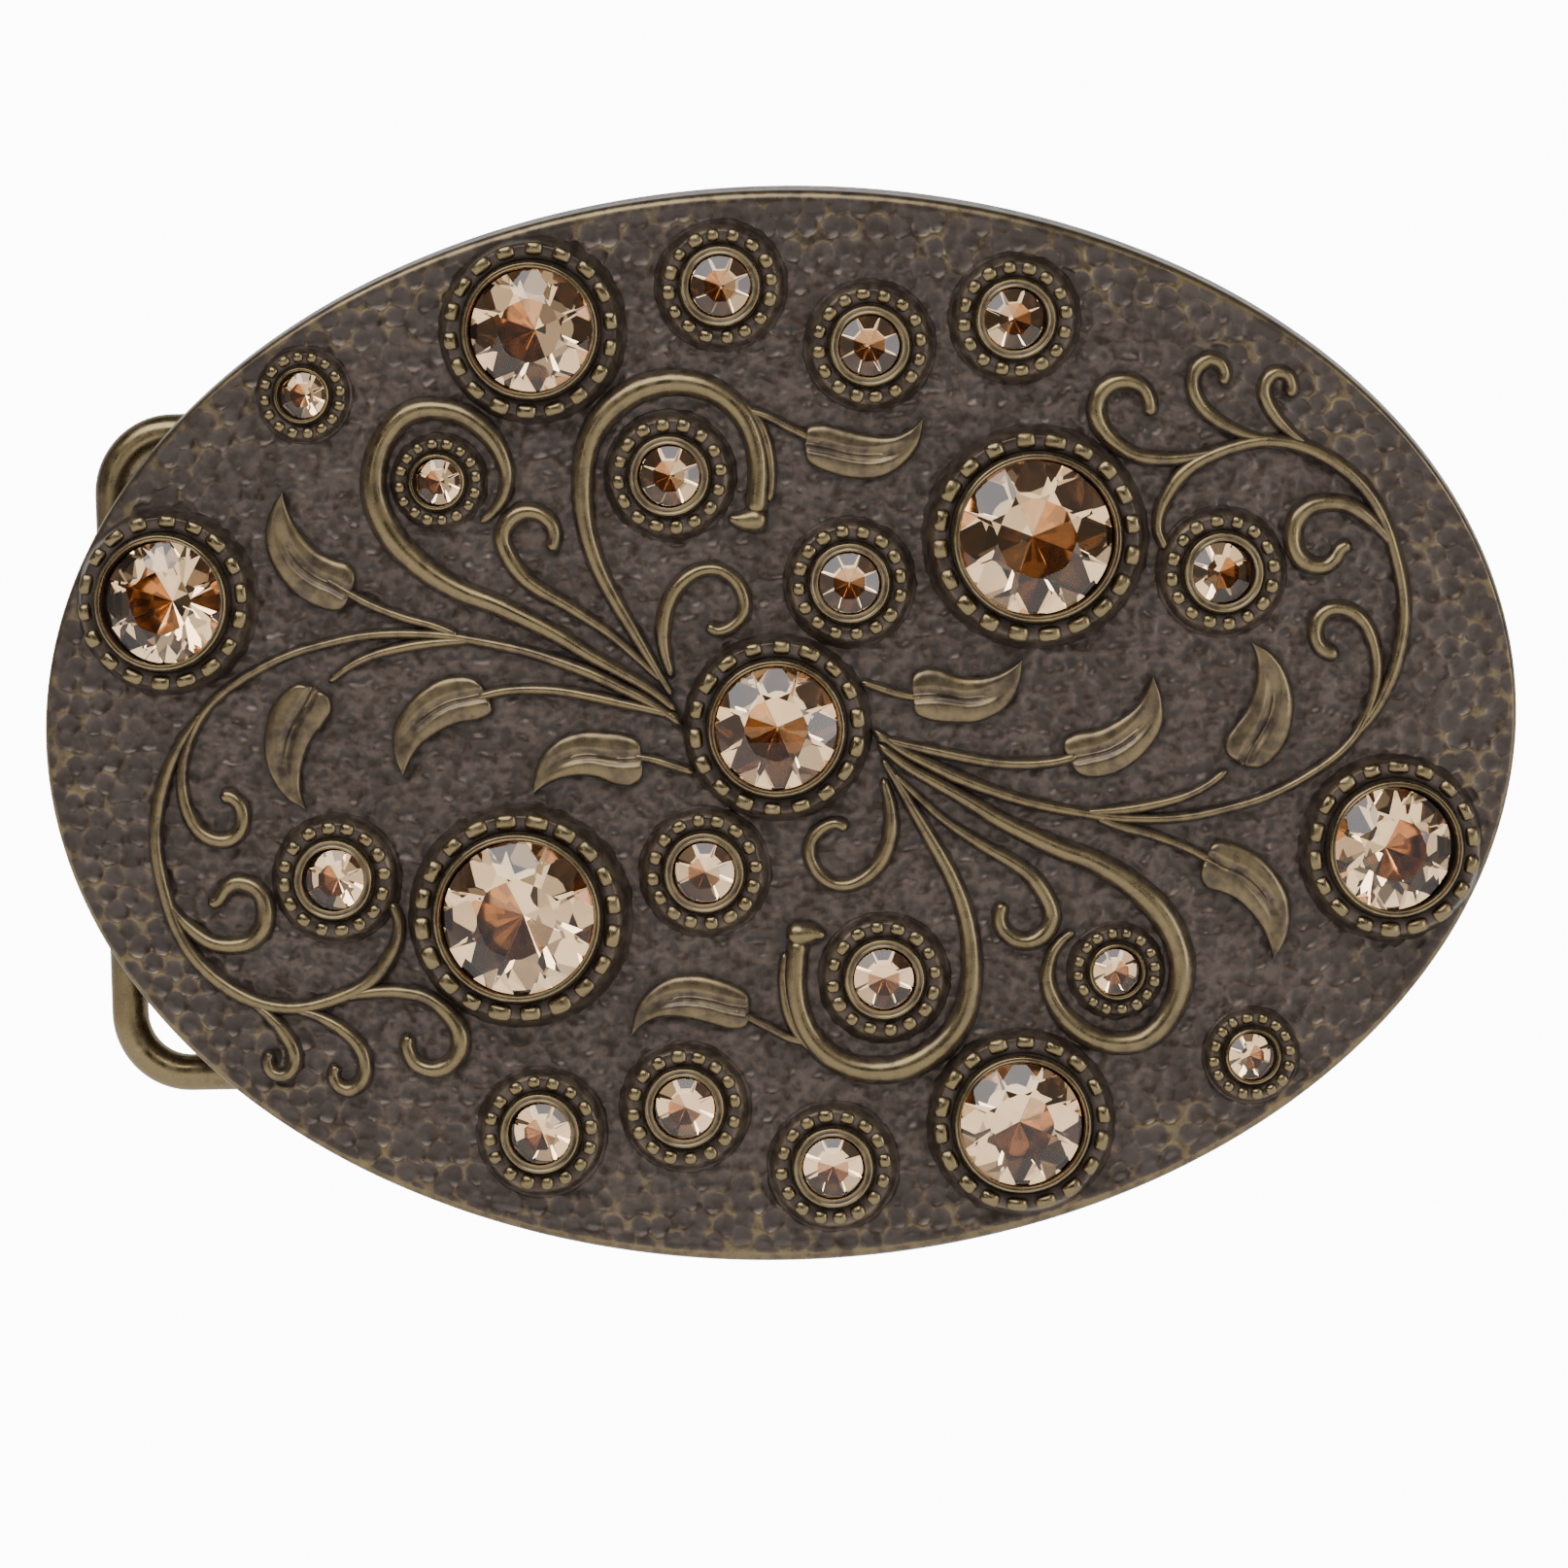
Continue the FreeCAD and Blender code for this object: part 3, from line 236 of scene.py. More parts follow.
class BucklePlateSizes(bpy.types.PropertyGroup):
    width: length("Width", "Oval, left to right", PLATE_HIGH.x - PLATE_LOW.x)
    height: length("Height", "Oval, bottom to top", PLATE_HIGH.z - PLATE_LOW.z)
    thickness: length("Thickness", "Wall of the casting", 3.0 * MM)
    bend_radius: length("Bend radius", "Back of the plate, bent about an upright axis", 225.0 * MM)
    edge_round: length("Edge round", "Rounding of the front edge", 0.5 * MM)
    draft: length("Draft", "How far the rim leans in from back to front", 0.22 * MM)
    pit_pitch: length("Hammer pitch", "Middle to middle of the hammer marks", 1.42 * MM)
    pit_radius: length("Hammer mark", "Radius of a middling mark", 0.72 * MM)
    pit_depth: length("Hammer depth", "Depth of the marks near the rim", 0.27 * MM)
    grid: IntProperty(name="Grid", description="Mesh cells across the face", default=560)


class BuckleOrnamentSizes(bpy.types.PropertyGroup):
    scroll_rise: length("Scroll rise", "Height of a very thin scroll", 0.40 * MM)
    leaf_rise: length("Leaf rise", "Height of a leaf's rolled edge", 0.72 * MM)
    root: length("Root", "Depth that ornaments run into the ground", 0.35 * MM)
    # The dark line round every ornament is painted shade with patina.
    halo: length("Halo", "Width of the dark line round every ornament", 0.60 * MM)


class BuckleFittingSizes(bpy.types.PropertyGroup):
    wire: length("Wire", "Wire diameter of the bail", 2.4 * MM)
    reach: length("Reach", "Hinge axis to the bail's far bar", 19.3 * MM)
    leg: length("Leg", "Middle of the bail to the middle of a leg", 21.0 * MM)
    corner: length("Corner", "Far corners, to the wire's middle", 4.0 * MM)
    bend: length("Bend", "Bend from a leg into its trunnion", 1.9 * MM)
    trunnion: length("Trunnion", "Trunnion tip, from the middle of the bail", 15.05 * MM)
    lug_inner: length("Lug inner side", "From the middle of the bail", 15.45 * MM)
    lug_outer: length("Lug outer side", "From the middle of the bail", 18.85 * MM)
    lug_radius: length("Lug radius", "Outside of a lug, from the hinge axis", 2.56 * MM)
    bore_radius: length("Bore radius", "Hinge bore in a lug", 1.26 * MM)
    boss_radius: length("Boss radius", "Boss round the hook's shank", 3.6 * MM)
    boss_height: length("Boss height", "Boss above the plate's back", 3.2 * MM)


class BuckleFinish(bpy.types.PropertyGroup):
    patina: colour("Patina", "Dark brown of the ground", (0.054, 0.037, 0.027))
    patina_light: colour("Light patina", "Paler clouds in the patina", (0.096, 0.070, 0.056))
    # Brass shows where the relief is rubbed, and also as a painted highlight on raised tops.
    brass: colour("Brass", "Rubbed relief", (0.205, 0.155, 0.080))
    # Bright brass: the most rubbed points, and a painted highlight on the tops of beads, rims and scrolls.
    bright: colour("Bright brass", "Most rubbed points", (0.38, 0.315, 0.175))
    # Near black, for patina in the hollows and painted shade there.
    soot: colour("Soot", "Blackened hollows", (0.026, 0.019, 0.015))
    glass: colour("Glass", "Champagne glass", (1.0, 0.68, 0.38))
    foil: colour("Foil", "Foil behind a stone", (0.80, 0.53, 0.27))
    floor: colour("Floor", "Pale stage", (0.9, 0.9, 0.9))


def plate_sizes():
    """The sizes of the cast plate."""
    return bpy.context.scene.buckle_plate


def ornament_sizes():
    """The sizes of the scrolls and leaves."""
    return bpy.context.scene.buckle_ornament


def fitting_sizes():
    """The sizes of the bail, lugs and boss."""
    return bpy.context.scene.buckle_fitting


def finish():
    """The colours of the finish."""
    return bpy.context.scene.buckle_finish


# ------------------------------------------------------------------ places on the bent face


def ground_radius():
    """Radius of the face's ground about the bend axis."""
    sizes = plate_sizes()
    return sizes.bend_radius + sizes.thickness


def bent(x, z, rise):
    """Points at x and z on the face, raised over its ground. Takes numbers or arrays."""
    depth = plate_sizes().bend_radius - np.sqrt((ground_radius() + rise) ** 2 - x**2)
    return np.stack(np.broadcast_arrays(x, depth, z), axis=-1)


def on_ground(x, z):
    """The frame of a setting: Z out of the face at x and z."""
    lean = math.asin(x / ground_radius())
    normal = Vector((math.sin(lean), -math.cos(lean), 0))
    across = Vector((math.cos(lean), math.sin(lean), 0))
    place = Vector(bent(x, z, 0.0))
    return Matrix.Translation(place) @ Matrix((across, (0, 0, 1), normal)).transposed().to_4x4()


def placed(points, matrix):
    """Points moved by a matrix."""
    turn = np.array(matrix.to_3x3())
    return np.asarray(points) @ turn.T + np.array(matrix.translation)


def smoothstep(value, low, high):
    """Rises smoothly from 0 at low to 1 at high."""
    share = np.clip((value - low) / (high - low), 0, 1)
    return share * share * (3 - 2 * share)


class Seat:
    """A stone's place and size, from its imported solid, and the proportions of its setting."""

    # stone radius: rim, beads, foot, rim height, bead count, bead half length and half width
    CLASSES = {
        4.93: (5.50, 6.24, 7.20, 2.4, 20, 0.76, 0.55),
        3.93: (4.48, 5.24, 6.00, 2.1, 18, 0.70, 0.48),
        1.92: (2.66, 3.31, 4.20, 1.5, 16, 0.50, 0.46),
        1.46: (1.90, 2.49, 3.10, 1.2, 16, 0.40, 0.39),
    }

    def __init__(self, node):
        low, high = (Vector(corner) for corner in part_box(node))
        self.node = node
        self.place = node.replace("stone_", "")
        self.x = (low.x + high.x) / 2
        self.z = (low.z + high.z) / 2
        measured = (high.z - low.z) / 2 / MM
        stone = min(self.CLASSES, key=lambda radius: abs(radius - measured))
        rim, beads, foot, height, self.count, bead_length, bead_width = self.CLASSES[stone]
        self.stone, self.rim, self.beads, self.foot, self.height = (
            value * MM for value in (stone, rim, beads, foot, height)
        )
        self.bead_length, self.bead_width = bead_length * MM, bead_width * MM
        self.ledge = 0.62 * self.height
        self.girdle = self.height - 0.05 * self.stone
        self.girdle_low = self.girdle - 0.06 * self.stone
        deepest = 0.57 * MM - plate_sizes().thickness
        self.point = max(self.girdle_low - self.stone * PAVILION_SLOPE, deepest)


def all_seats():
    """The seats of all the stones, in the order of their names."""
    return [Seat(node) for node in sorted(frame["nodes"]) if node.startswith("stone_")]


# ------------------------------------------------------------------ meshes


class Shape:
    """Gathers points, faces and, for each point, a rubbing layer with painted highlight and a blackening
    layer with painted shade, for one piece.
    """

    def __init__(self):
        self.points, self.faces, self.wear, self.soot = [], [], [], []
        self.count = 0

    def add(self, points, faces, wear=0.5, soot=0.0):
        points = np.asarray(points).reshape(-1, 3)
        self.points.append(points)
        self.faces += [tuple(self.count + index for index in face) for face in faces]
        self.wear.append(np.broadcast_to(wear, len(points)))
        self.soot.append(np.broadcast_to(soot, len(points)))
        self.count += len(points)

    def piece(self, name, material, body="plate", slot="antique_brass", sharp=None):
        mesh = bpy.data.meshes.new(name)
        mesh.from_pydata(np.concatenate(self.points).tolist(), [], self.faces)
        # Per-point layers: rubbing mixed with painted highlight, and blackening mixed with painted shade; on
        # the foil both are painted facet reflections.
        for layer, values in (("wear", self.wear), ("soot", self.soot)):
            attribute = mesh.attributes.new(layer, "FLOAT", "POINT")
            attribute.data.foreach_set("value", np.concatenate(values).astype(np.float32))
        mesh.validate()
        mesh.shade_smooth()
        if sharp is not None:
            mesh.set_sharp_from_angle(angle=math.radians(sharp))
        mesh.materials.append(material)
        obj = bpy.data.objects.new(name, mesh)
        bpy.context.scene.collection.objects.link(obj)
        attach(obj, body)
        return obj


def grid_faces(rows, columns, closed=False, start=0):
    """Quads over rows of points, with the last column joined to the first when closed."""
    faces = []
    for row in range(rows - 1):
        for column in range(columns if closed else columns - 1):
            after = (column + 1) % columns
            here, above = start + row * columns, start + (row + 1) * columns
            faces.append((here + column, here + after, above + after, above + column))
    return faces


def lathe(profile, segments):
    """A closed solid turned about Z. The profile starts and ends on the axis."""
    radius, height = np.array([point[0] for point in profile]), np.array([point[1] for point in profile])
    angle = np.arange(segments) * 2 * math.pi / segments
    inner = slice(1, -1)
    rings = np.stack([
        np.outer(radius[inner], np.cos(angle)),
        np.outer(radius[inner], np.sin(angle)),
        np.outer(height[inner], np.ones(segments)),
    ], axis=-1).reshape(-1, 3)
    points = np.concatenate([rings, [(0, 0, height[0]), (0, 0, height[-1])]])
    rows = len(profile) - 2
    faces = grid_faces(rows, segments, closed=True)
    first, last = rows * segments, rows * segments + 1
    for column in range(segments):
        after = (column + 1) % segments
        faces.append((first, after, column))
        top = (rows - 1) * segments
        faces.append((last, top + column, top + after))
    return points, faces


def spread(values, segments):
    """The lathe's profile values, for every one of its points."""
    values = np.asarray(values, dtype=float)
    return np.concatenate([np.repeat(values[1:-1], segments), [values[0], values[-1]]])


def rounded(corners, steps):
    """A smooth path through corners, each a tuple of numbers, by Catmull-Rom spans."""
    corners = np.array(corners, dtype=float)
    padded = np.concatenate([[2 * corners[0] - corners[1]], corners, [2 * corners[-1] - corners[-2]]])
    share = np.arange(steps) / steps
    path = []
    for before, start, end, after in zip(padded, padded[1:], padded[2:], padded[3:]):
        for t in share:
            path.append(0.5 * (
                2 * start + (end - before) * t
                + (2 * before - 5 * start + 4 * end - after) * t**2
                + (3 * start - before - 3 * end + after) * t**3
            ))
    path.append(corners[-1])
    return np.array(path)


def tube(path, normals, radius, sides, capped=True):
    """A round tube along a path whose sections stand square to it."""
    path, normals = np.asarray(path), np.asarray(normals)
    along = np.gradient(path, axis=0)
    along /= np.linalg.norm(along, axis=1)[:, None]
    second = np.cross(along, normals)
    angle = np.arange(sides) * 2 * math.pi / sides
    rings = path[:, None] + np.asarray(radius).reshape(-1, 1, 1) * (
        np.cos(angle)[:, None] * normals[:, None] + np.sin(angle)[:, None] * second[:, None]
    )
    faces = grid_faces(len(path), sides, closed=True)
    if capped:
        last = (len(path) - 1) * sides
        faces.append(tuple(range(sides))[::-1])
        faces.append(tuple(range(last, last + sides)))
    return rings.reshape(-1, 3), faces


# ------------------------------------------------------------------ shared effects


def new_group(name, inputs, outputs):
    """A shader node group with named sockets, and its input and output nodes."""
    tree = bpy.data.node_groups.new(name, "ShaderNodeTree")
    for socket, kind, default in inputs:
        made = tree.interface.new_socket(socket, in_out="INPUT", socket_type=kind)
        made.default_value = default
    for socket, kind in outputs:
        tree.interface.new_socket(socket, in_out="OUTPUT", socket_type=kind)
    return tree, tree.nodes.new("NodeGroupInput"), tree.nodes.new("NodeGroupOutput")


def add_node(tree, kind, links=(), **settings):
    """A node with its settings made, and its inputs linked or set by name or number."""
    node = tree.nodes.new(kind)
    for key, value in settings.items():
        setattr(node, key, value)
    for socket, value in dict(links).items():
        if isinstance(value, bpy.types.NodeSocket):
            tree.links.new(value, node.inputs[socket])
        else:
            node.inputs[socket].default_value = value
    return node


def blend(tree, factor, first, second, mode="MIX"):
    """A colour mix. Each side is a socket or a colour."""
    node = add_node(tree, "ShaderNodeMix", data_type="RGBA", blend_type=mode)
    for index, value in ((0, factor), (6, first), (7, second)):
        if isinstance(value, bpy.types.NodeSocket):
            tree.links.new(value, node.inputs[index])
        elif index == 0:
            node.inputs[0].default_value = value
        else:
            node.inputs[index].default_value = (*value, 1.0)
    return node.outputs[2]


def sum_up(tree, operation, first, second, clamp=False):
    """A math node, and its result."""
    return add_node(
        tree, "ShaderNodeMath", {0: first, 1: second}, operation=operation, use_clamp=clamp
    ).outputs[0]


def ramp(tree, value, low, high, to_low=0.0, to_high=1.0):
    """Maps low to high onto another range, and holds it there."""
    return add_node(
        tree, "ShaderNodeMapRange",
        {"Value": value, "From Min": low, "From Max": high, "To Min": to_low, "To Max": to_high},
        interpolation_type="SMOOTHSTEP",
    ).outputs[0]


def clouds(tree, scale, detail=3.0, roughness=0.55):
    """Cloudy noise in object space."""
    place = add_node(tree, "ShaderNodeTexCoord").outputs["Object"]
    return add_node(
        tree, "ShaderNodeTexNoise",
        {"Vector": place, "Scale": scale, "Detail": detail, "Roughness": roughness},
    ).outputs["Fac"]


def make_patina_group():
    """Antique brass: brown patina with paler clouds, rubbed metal with a painted highlight where the mesh's
    first layer is high, black patina with painted shade in the hollows.
    """
    colours = finish()
    tree, given, out = new_group(
        "antique patina",
        [("Wear", "NodeSocketFloat", 0.5), ("Soot", "NodeSocketFloat", 0.0),
         ("Shift", "NodeSocketFloat", 0.0)],
        [("Color", "NodeSocketColor"), ("Roughness", "NodeSocketFloat"), ("Metallic", "NodeSocketFloat"),
         ("Height", "NodeSocketFloat")],
    )
    broad, fine, grain = clouds(tree, 260.0), clouds(tree, 1100.0), clouds(tree, 5200.0, 2.0)
    mottle = sum_up(tree, "ADD", sum_up(tree, "MULTIPLY", broad, 0.3), sum_up(tree, "MULTIPLY", fine, 0.7))
    base = blend(tree, ramp(tree, mottle, 0.42, 0.60), tuple(colours.patina), tuple(colours.patina_light))
    ragged = sum_up(tree, "MULTIPLY", sum_up(tree, "SUBTRACT", mottle, 0.5), 0.9)
    wear = sum_up(tree, "ADD", sum_up(tree, "ADD", given.outputs["Wear"], ragged), given.outputs["Shift"])
    # Rubbed brass: partly real rubbing, partly a painted highlight on raised tops and edges.
    rubbed_and_highlit = ramp(tree, wear, 0.30, 0.72)
    base = blend(tree, rubbed_and_highlit, base, tuple(colours.brass))
    # Bright brass on the most rubbed points, also a painted highlight on the tops.
    shining = ramp(tree, wear, 0.80, 1.12)
    base = blend(tree, shining, base, tuple(colours.bright))
    flecks = ramp(tree, grain, 0.60, 0.70, 0.0, 0.20)
    base = blend(tree, sum_up(tree, "MULTIPLY", flecks, rubbed_and_highlit), base, tuple(colours.patina))
    # Black in the hollows: patina there plus painted shade.
    black = ramp(tree, sum_up(tree, "ADD", given.outputs["Soot"], sum_up(tree, "MULTIPLY", ragged, 0.2)),
                 0.10, 0.95, 0.0, 0.88)
    base = blend(tree, black, base, tuple(colours.soot))
    rough = ramp(tree, fine, 0.35, 0.70, 0.30, 0.46)
    rough = sum_up(tree, "SUBTRACT", rough, sum_up(tree, "MULTIPLY", rubbed_and_highlit, 0.08))
    rough = sum_up(tree, "ADD", rough, sum_up(tree, "MULTIPLY", black, 0.20), clamp=True)
    metal = ramp(tree, rubbed_and_highlit, 0.0, 1.0, 0.62, 1.0)
    metal = sum_up(tree, "SUBTRACT", metal, sum_up(tree, "MULTIPLY", black, 0.4))
    rise = sum_up(tree, "ADD", sum_up(tree, "MULTIPLY", fine, 1.0), sum_up(tree, "MULTIPLY", grain, 0.35))
    for socket, value in (("Color", base), ("Roughness", rough), ("Metallic", metal), ("Height", rise)):
        tree.links.new(value, out.inputs[socket])
    return tree


def mesh_layer(tree, name):
    """One of a mesh's own per-point layers of rubbing and blackening, which also carry painted highlight and
    shade.
    """
    return add_node(tree, "ShaderNodeAttribute", attribute_name=name).outputs["Fac"]


def patina_material(name, shift=0.0, bump=0.05):
    """Brass with the shared patina, rubbed and blackened by the piece's own layers, which also paint
    highlight and shade.
    """
    material = bpy.data.materials.new(name)
    material.use_nodes = True
    tree = material.node_tree
    shader = tree.nodes["Principled BSDF"]
    group = add_node(tree, "ShaderNodeGroup", node_tree=bpy.data.node_groups["antique patina"])
    group.inputs["Shift"].default_value = shift
    tree.links.new(mesh_layer(tree, "wear"), group.inputs["Wear"])
    tree.links.new(mesh_layer(tree, "soot"), group.inputs["Soot"])
    bumped = add_node(
        tree, "ShaderNodeBump",
        {"Height": group.outputs["Height"], "Strength": bump, "Distance": 0.1 * MM},
    )
    tree.links.new(group.outputs["Color"], shader.inputs["Base Color"])
    tree.links.new(group.outputs["Roughness"], shader.inputs["Roughness"])
    tree.links.new(group.outputs["Metallic"], shader.inputs["Metallic"])
    tree.links.new(bumped.outputs["Normal"], shader.inputs["Normal"])
    return material


def glass_material():
    """Champagne glass, with faint threads in its colour."""
    material = bpy.data.materials.new("topaz glass")
    material.use_nodes = True
    tree = material.node_tree
    shader = tree.nodes["Principled BSDF"]
    tint = tuple(finish().glass)
    deeper = tuple(channel * share for channel, share in zip(tint, (0.97, 0.93, 0.86)))
    base = blend(tree, ramp(tree, clouds(tree, 420.0), 0.35, 0.65), tint, deeper)
    tree.links.new(base, shader.inputs["Base Color"])
    tree.links.new(ramp(tree, clouds(tree, 300.0), 0.4, 0.8, 0.0, 0.006), shader.inputs["Roughness"])
    facet = add_node(tree, "ShaderNodeNewGeometry").outputs["True Normal"]
    tree.links.new(facet, shader.inputs["Normal"])
    shader.inputs["Transmission Weight"].default_value = 1.0
    shader.inputs["IOR"].default_value = 1.50
    return material


def foil_material():
    """Gold-brown lacquered foil, slightly uneven, with painted facet reflections: dark and pale shades from
    the piece's own layers.
    """
    material = bpy.data.materials.new("stone foil")
    material.use_nodes = True
    tree = material.node_tree
    shader = tree.nodes["Principled BSDF"]
    tint = tuple(finish().foil)
    deeper = tuple(channel * share for channel, share in zip(tint, (0.72, 0.60, 0.50)))
    base = blend(tree, ramp(tree, clouds(tree, 700.0), 0.35, 0.7), tint, deeper)
    # Painted reflection: the first layer runs each facet from dark brown to the foil's tint.
    darkest = tuple(channel * share for channel, share in zip(tint, (0.22, 0.15, 0.10)))
    base = blend(tree, mesh_layer(tree, "wear"), darkest, base)
    # Painted reflection: the second layer paints facets pale champagne.
    base = blend(tree, mesh_layer(tree, "soot"), base, (0.82, 0.62, 0.44))
    tree.links.new(base, shader.inputs["Base Color"])
    tree.links.new(ramp(tree, clouds(tree, 1500.0), 0.3, 0.8, 0.14, 0.24), shader.inputs["Roughness"])
    shader.inputs["Metallic"].default_value = 1.0
    return material


def adhesive_material():
    """Clear glue, yellowed and slightly bubbled."""
    material = bpy.data.materials.new("cured adhesive")
    material.use_nodes = True
    tree = material.node_tree
    shader = tree.nodes["Principled BSDF"]
    base = blend(tree, clouds(tree, 800.0), (0.42, 0.33, 0.18), (0.24, 0.18, 0.10))
    tree.links.new(base, shader.inputs["Base Color"])
    tree.links.new(ramp(tree, clouds(tree, 2000.0), 0.3, 0.7, 0.25, 0.5), shader.inputs["Roughness"])
    return material


def stage_material():
    """Pale paper with a faint tooth, lit evenly."""
    material = bpy.data.materials.new("pale stage")
    material.use_nodes = True
    tree = material.node_tree
    shader = tree.nodes["Principled BSDF"]
    tone = tuple(finish().floor)
    dimmer = tuple(channel * 0.98 for channel in tone)
    base = blend(tree, clouds(tree, 60.0), tone, dimmer)
    tree.links.new(base, shader.inputs["Base Color"])
    shader.inputs["Roughness"].default_value = 0.9
    shader.inputs["Emission Color"].default_value = (1.0, 1.0, 1.0, 1.0)
    seen = add_node(tree, "ShaderNodeLightPath").outputs["Is Camera Ray"]
    glow = add_node(tree, "ShaderNodeMapRange", {"Value": seen, "To Min": STAGE_SPILL, "To Max": STAGE_GLOW})
    tree.links.new(glow.outputs[0], shader.inputs["Emission Strength"])
    return material


STAGE_GLOW = 12.0
STAGE_SPILL = 0.55


# ------------------------------------------------------------------ ornament lines


class Line:
    """A scroll's smooth middle line on the face, with its width along it."""

    STEPS = 6

    def __init__(self, points, widths, side):
        path = rounded(points, self.STEPS) * MM * side
        run = np.concatenate([[0], np.cumsum(np.linalg.norm(np.diff(path, axis=0), axis=1))])
        share = run / run[-1]
        self.x, self.z = path[:, 0], path[:, 1]
        self.width = np.interp(share, np.linspace(0, 1, len(widths)), widths) * MM
        self.run = run
        along = np.gradient(path, axis=0)
        along /= np.linalg.norm(along, axis=1)[:, None]
        self.aside = np.stack([-along[:, 1], along[:, 0]], axis=1)

    def rounded_ends(self):
        """1 along the line, falling round to nearly 0 at both ends."""
        cap = np.maximum(self.width[[0, -1]] / 2, 1e-6)
        left = np.clip(self.run / cap[0], 0, 1)
        right = np.clip((self.run[-1] - self.run) / cap[1], 0, 1)
        return np.maximum(np.sqrt(left * (2 - left)) * np.sqrt(right * (2 - right)), 0.08)


def scroll_lines():
    """Every scroll, on both sides."""
    return [Line(points, widths, side) for points, widths in SCROLLS.values() for side in SIDES]


def leaf_halves(out, back, steps):
    """A leaf's two sides, both from the stalk to the tip, evenly sampled."""
    halves = []
    for corners in (out, back[::-1]):
        path = rounded(corners, 6)
        run = np.concatenate([[0], np.cumsum(np.linalg.norm(np.diff(path, axis=0), axis=1))])
        even = np.linspace(0, run[-1], steps)
        halves.append(np.stack([np.interp(even, run, path[:, axis]) for axis in (0, 1)], axis=1) * MM)
    return halves


def ornament_tree():
    """Middle points of every ornament for nearness tests, with the half width at each."""
    places, halves = [], []
    for line in scroll_lines():
        places += list(zip(line.x, line.z))
        halves += list(line.width / 2)
    for out, back in LEAVES.values():
        for side in SIDES:
            left, right = leaf_halves(out, back, 24)
            for first, second in zip(left * side, right * side):
                for share in (0.0, 0.2, 0.4, 0.6, 0.8, 1.0):
                    places.append(tuple(first * (1 - share) + second * share))
                    halves.append(0.12 * MM)
    tree = kdtree.KDTree(len(places))
    for index, (x, z) in enumerate(places):
        tree.insert((x, z, 0), index)
    tree.balance()
    return tree, halves


# ------------------------------------------------------------------ the plate


class Ground:
    """Heights of the face's ground at any point, with its rubbed and blackened layers, which also hold
    painted highlight and painted shade.
    """

    def __init__(self):
        sizes = plate_sizes()
        self.half_width, self.half_height = sizes.width / 2, sizes.height / 2
        self.pitch, self.depth, self.radius = sizes.pit_pitch, sizes.pit_depth, sizes.pit_radius
        self.tree, self.halves = ornament_tree()
        self.seats = all_seats()
        self.marks = self.hammer_marks()

    def hammer_marks(self):
        """Middles of the hammer marks, in a jittered hexagonal lattice, and the size of each."""
        rng = random.Random(4)
        places = []
        self.spans, self.depths = [], []
        row_step = self.pitch * math.sqrt(3) / 2
        rows = int(self.half_height / row_step) + 2
        columns = int(self.half_width / self.pitch) + 2
        for row in range(-rows, rows + 1):
            for column in range(-columns, columns + 1):
                x = (column + 0.5 * (row % 2)) * self.pitch + rng.uniform(-0.25, 0.25) * self.pitch
                z = row * row_step + rng.uniform(-0.25, 0.25) * self.pitch
                places.append((x, z, 0))
                self.spans.append(self.radius * rng.uniform(0.95, 1.25))
                self.depths.append(rng.uniform(0.45, 1.0))
        tree = kdtree.KDTree(len(places))
        for index, place in enumerate(places):
            tree.insert(place, index)
        tree.balance()
        return tree

    def at(self, xs, zs):
        """Rise at each place, and the rubbing and blackening layers, which also carry painted highlight and
        painted shade.
        """
        rise, wear, soot = np.zeros(len(xs)), np.zeros(len(xs)), np.zeros(len(xs))
        halo = ornament_sizes().halo
        edge_share = np.sqrt((xs / self.half_width) ** 2 + (zs / self.half_height) ** 2)
        near_rim = smoothstep(edge_share, 0.72, 0.97)
        for index, (x, z) in enumerate(zip(xs, zs)):
            _, mark, first = self.marks.find((x, z, 0))
            _, nearest, gap = self.tree.find((x, z, 0))
            gap -= self.halves[nearest]
            swell = noise.noise((x * 1500, z * 1500, 3.0))
            ripple = noise.noise((x * 2600, z * 2600, 9.0))
            rim = min(max(near_rim[index] + 0.35 * noise.noise((x * 190, z * 190, 5.0)), 0.0), 1.0)
            reach = min(first / self.spans[mark], 1.0)
            bowl = (1 - reach**4) ** 1.4
            pit = bowl * self.depths[mark]
            deep = (0.30 + 0.70 * rim) * pit
            rise[index] = -self.depth * deep + (1 - 0.85 * rim) * (swell * 0.17 + ripple * 0.06) * MM
            # Lighter on the hammer ridges near the rim and on raised swells in the middle: rubbing, and a
            # painted highlight on the high points.
            wear[index] = rim * (0.52 - 0.50 * bowl + 0.10 * swell) + (1 - rim) * (
                0.06 + 0.18 * swell + 0.16 * ripple
            )
            # Painted shade with patina: hammer pits near the rim blackened, deep ones most, and the low
            # spots of the middle.
            rim_black = 0.80 * rim * bowl * (0.45 + 0.4 * self.depths[mark])
            black = rim_black + (1 - rim) * max(0.0, -1.2 * swell - 0.7 * ripple + 0.35 * pit)
            # Painted shade with patina: a dark line round every ornament, where the ground meets the relief.
            soot[index] = max(0.75 * max(0.0, 1 - max(gap, 0.0) / halo) ** 1.5, black)
        for seat in self.seats:
            away = np.hypot(xs - seat.x, zs - seat.z)
            well = 1 - smoothstep(away, seat.foot - 0.9 * MM, seat.foot - 0.35 * MM)
            rise = rise * (1 - well) + well * min(seat.point - 0.3 * MM, -0.6 * MM)
            # Painted shade: a faint dark ring round the foot of each setting.
            soot = np.maximum(soot, 0.15 * np.clip(1 - (away - seat.foot) / halo, 0, 1) ** 1.5)
        # Painted highlight with rubbing: a lighter line along the front edge.
        wear = wear + smoothstep(edge_share, 0.985, 1.0) * 0.25
        return rise, wear, soot


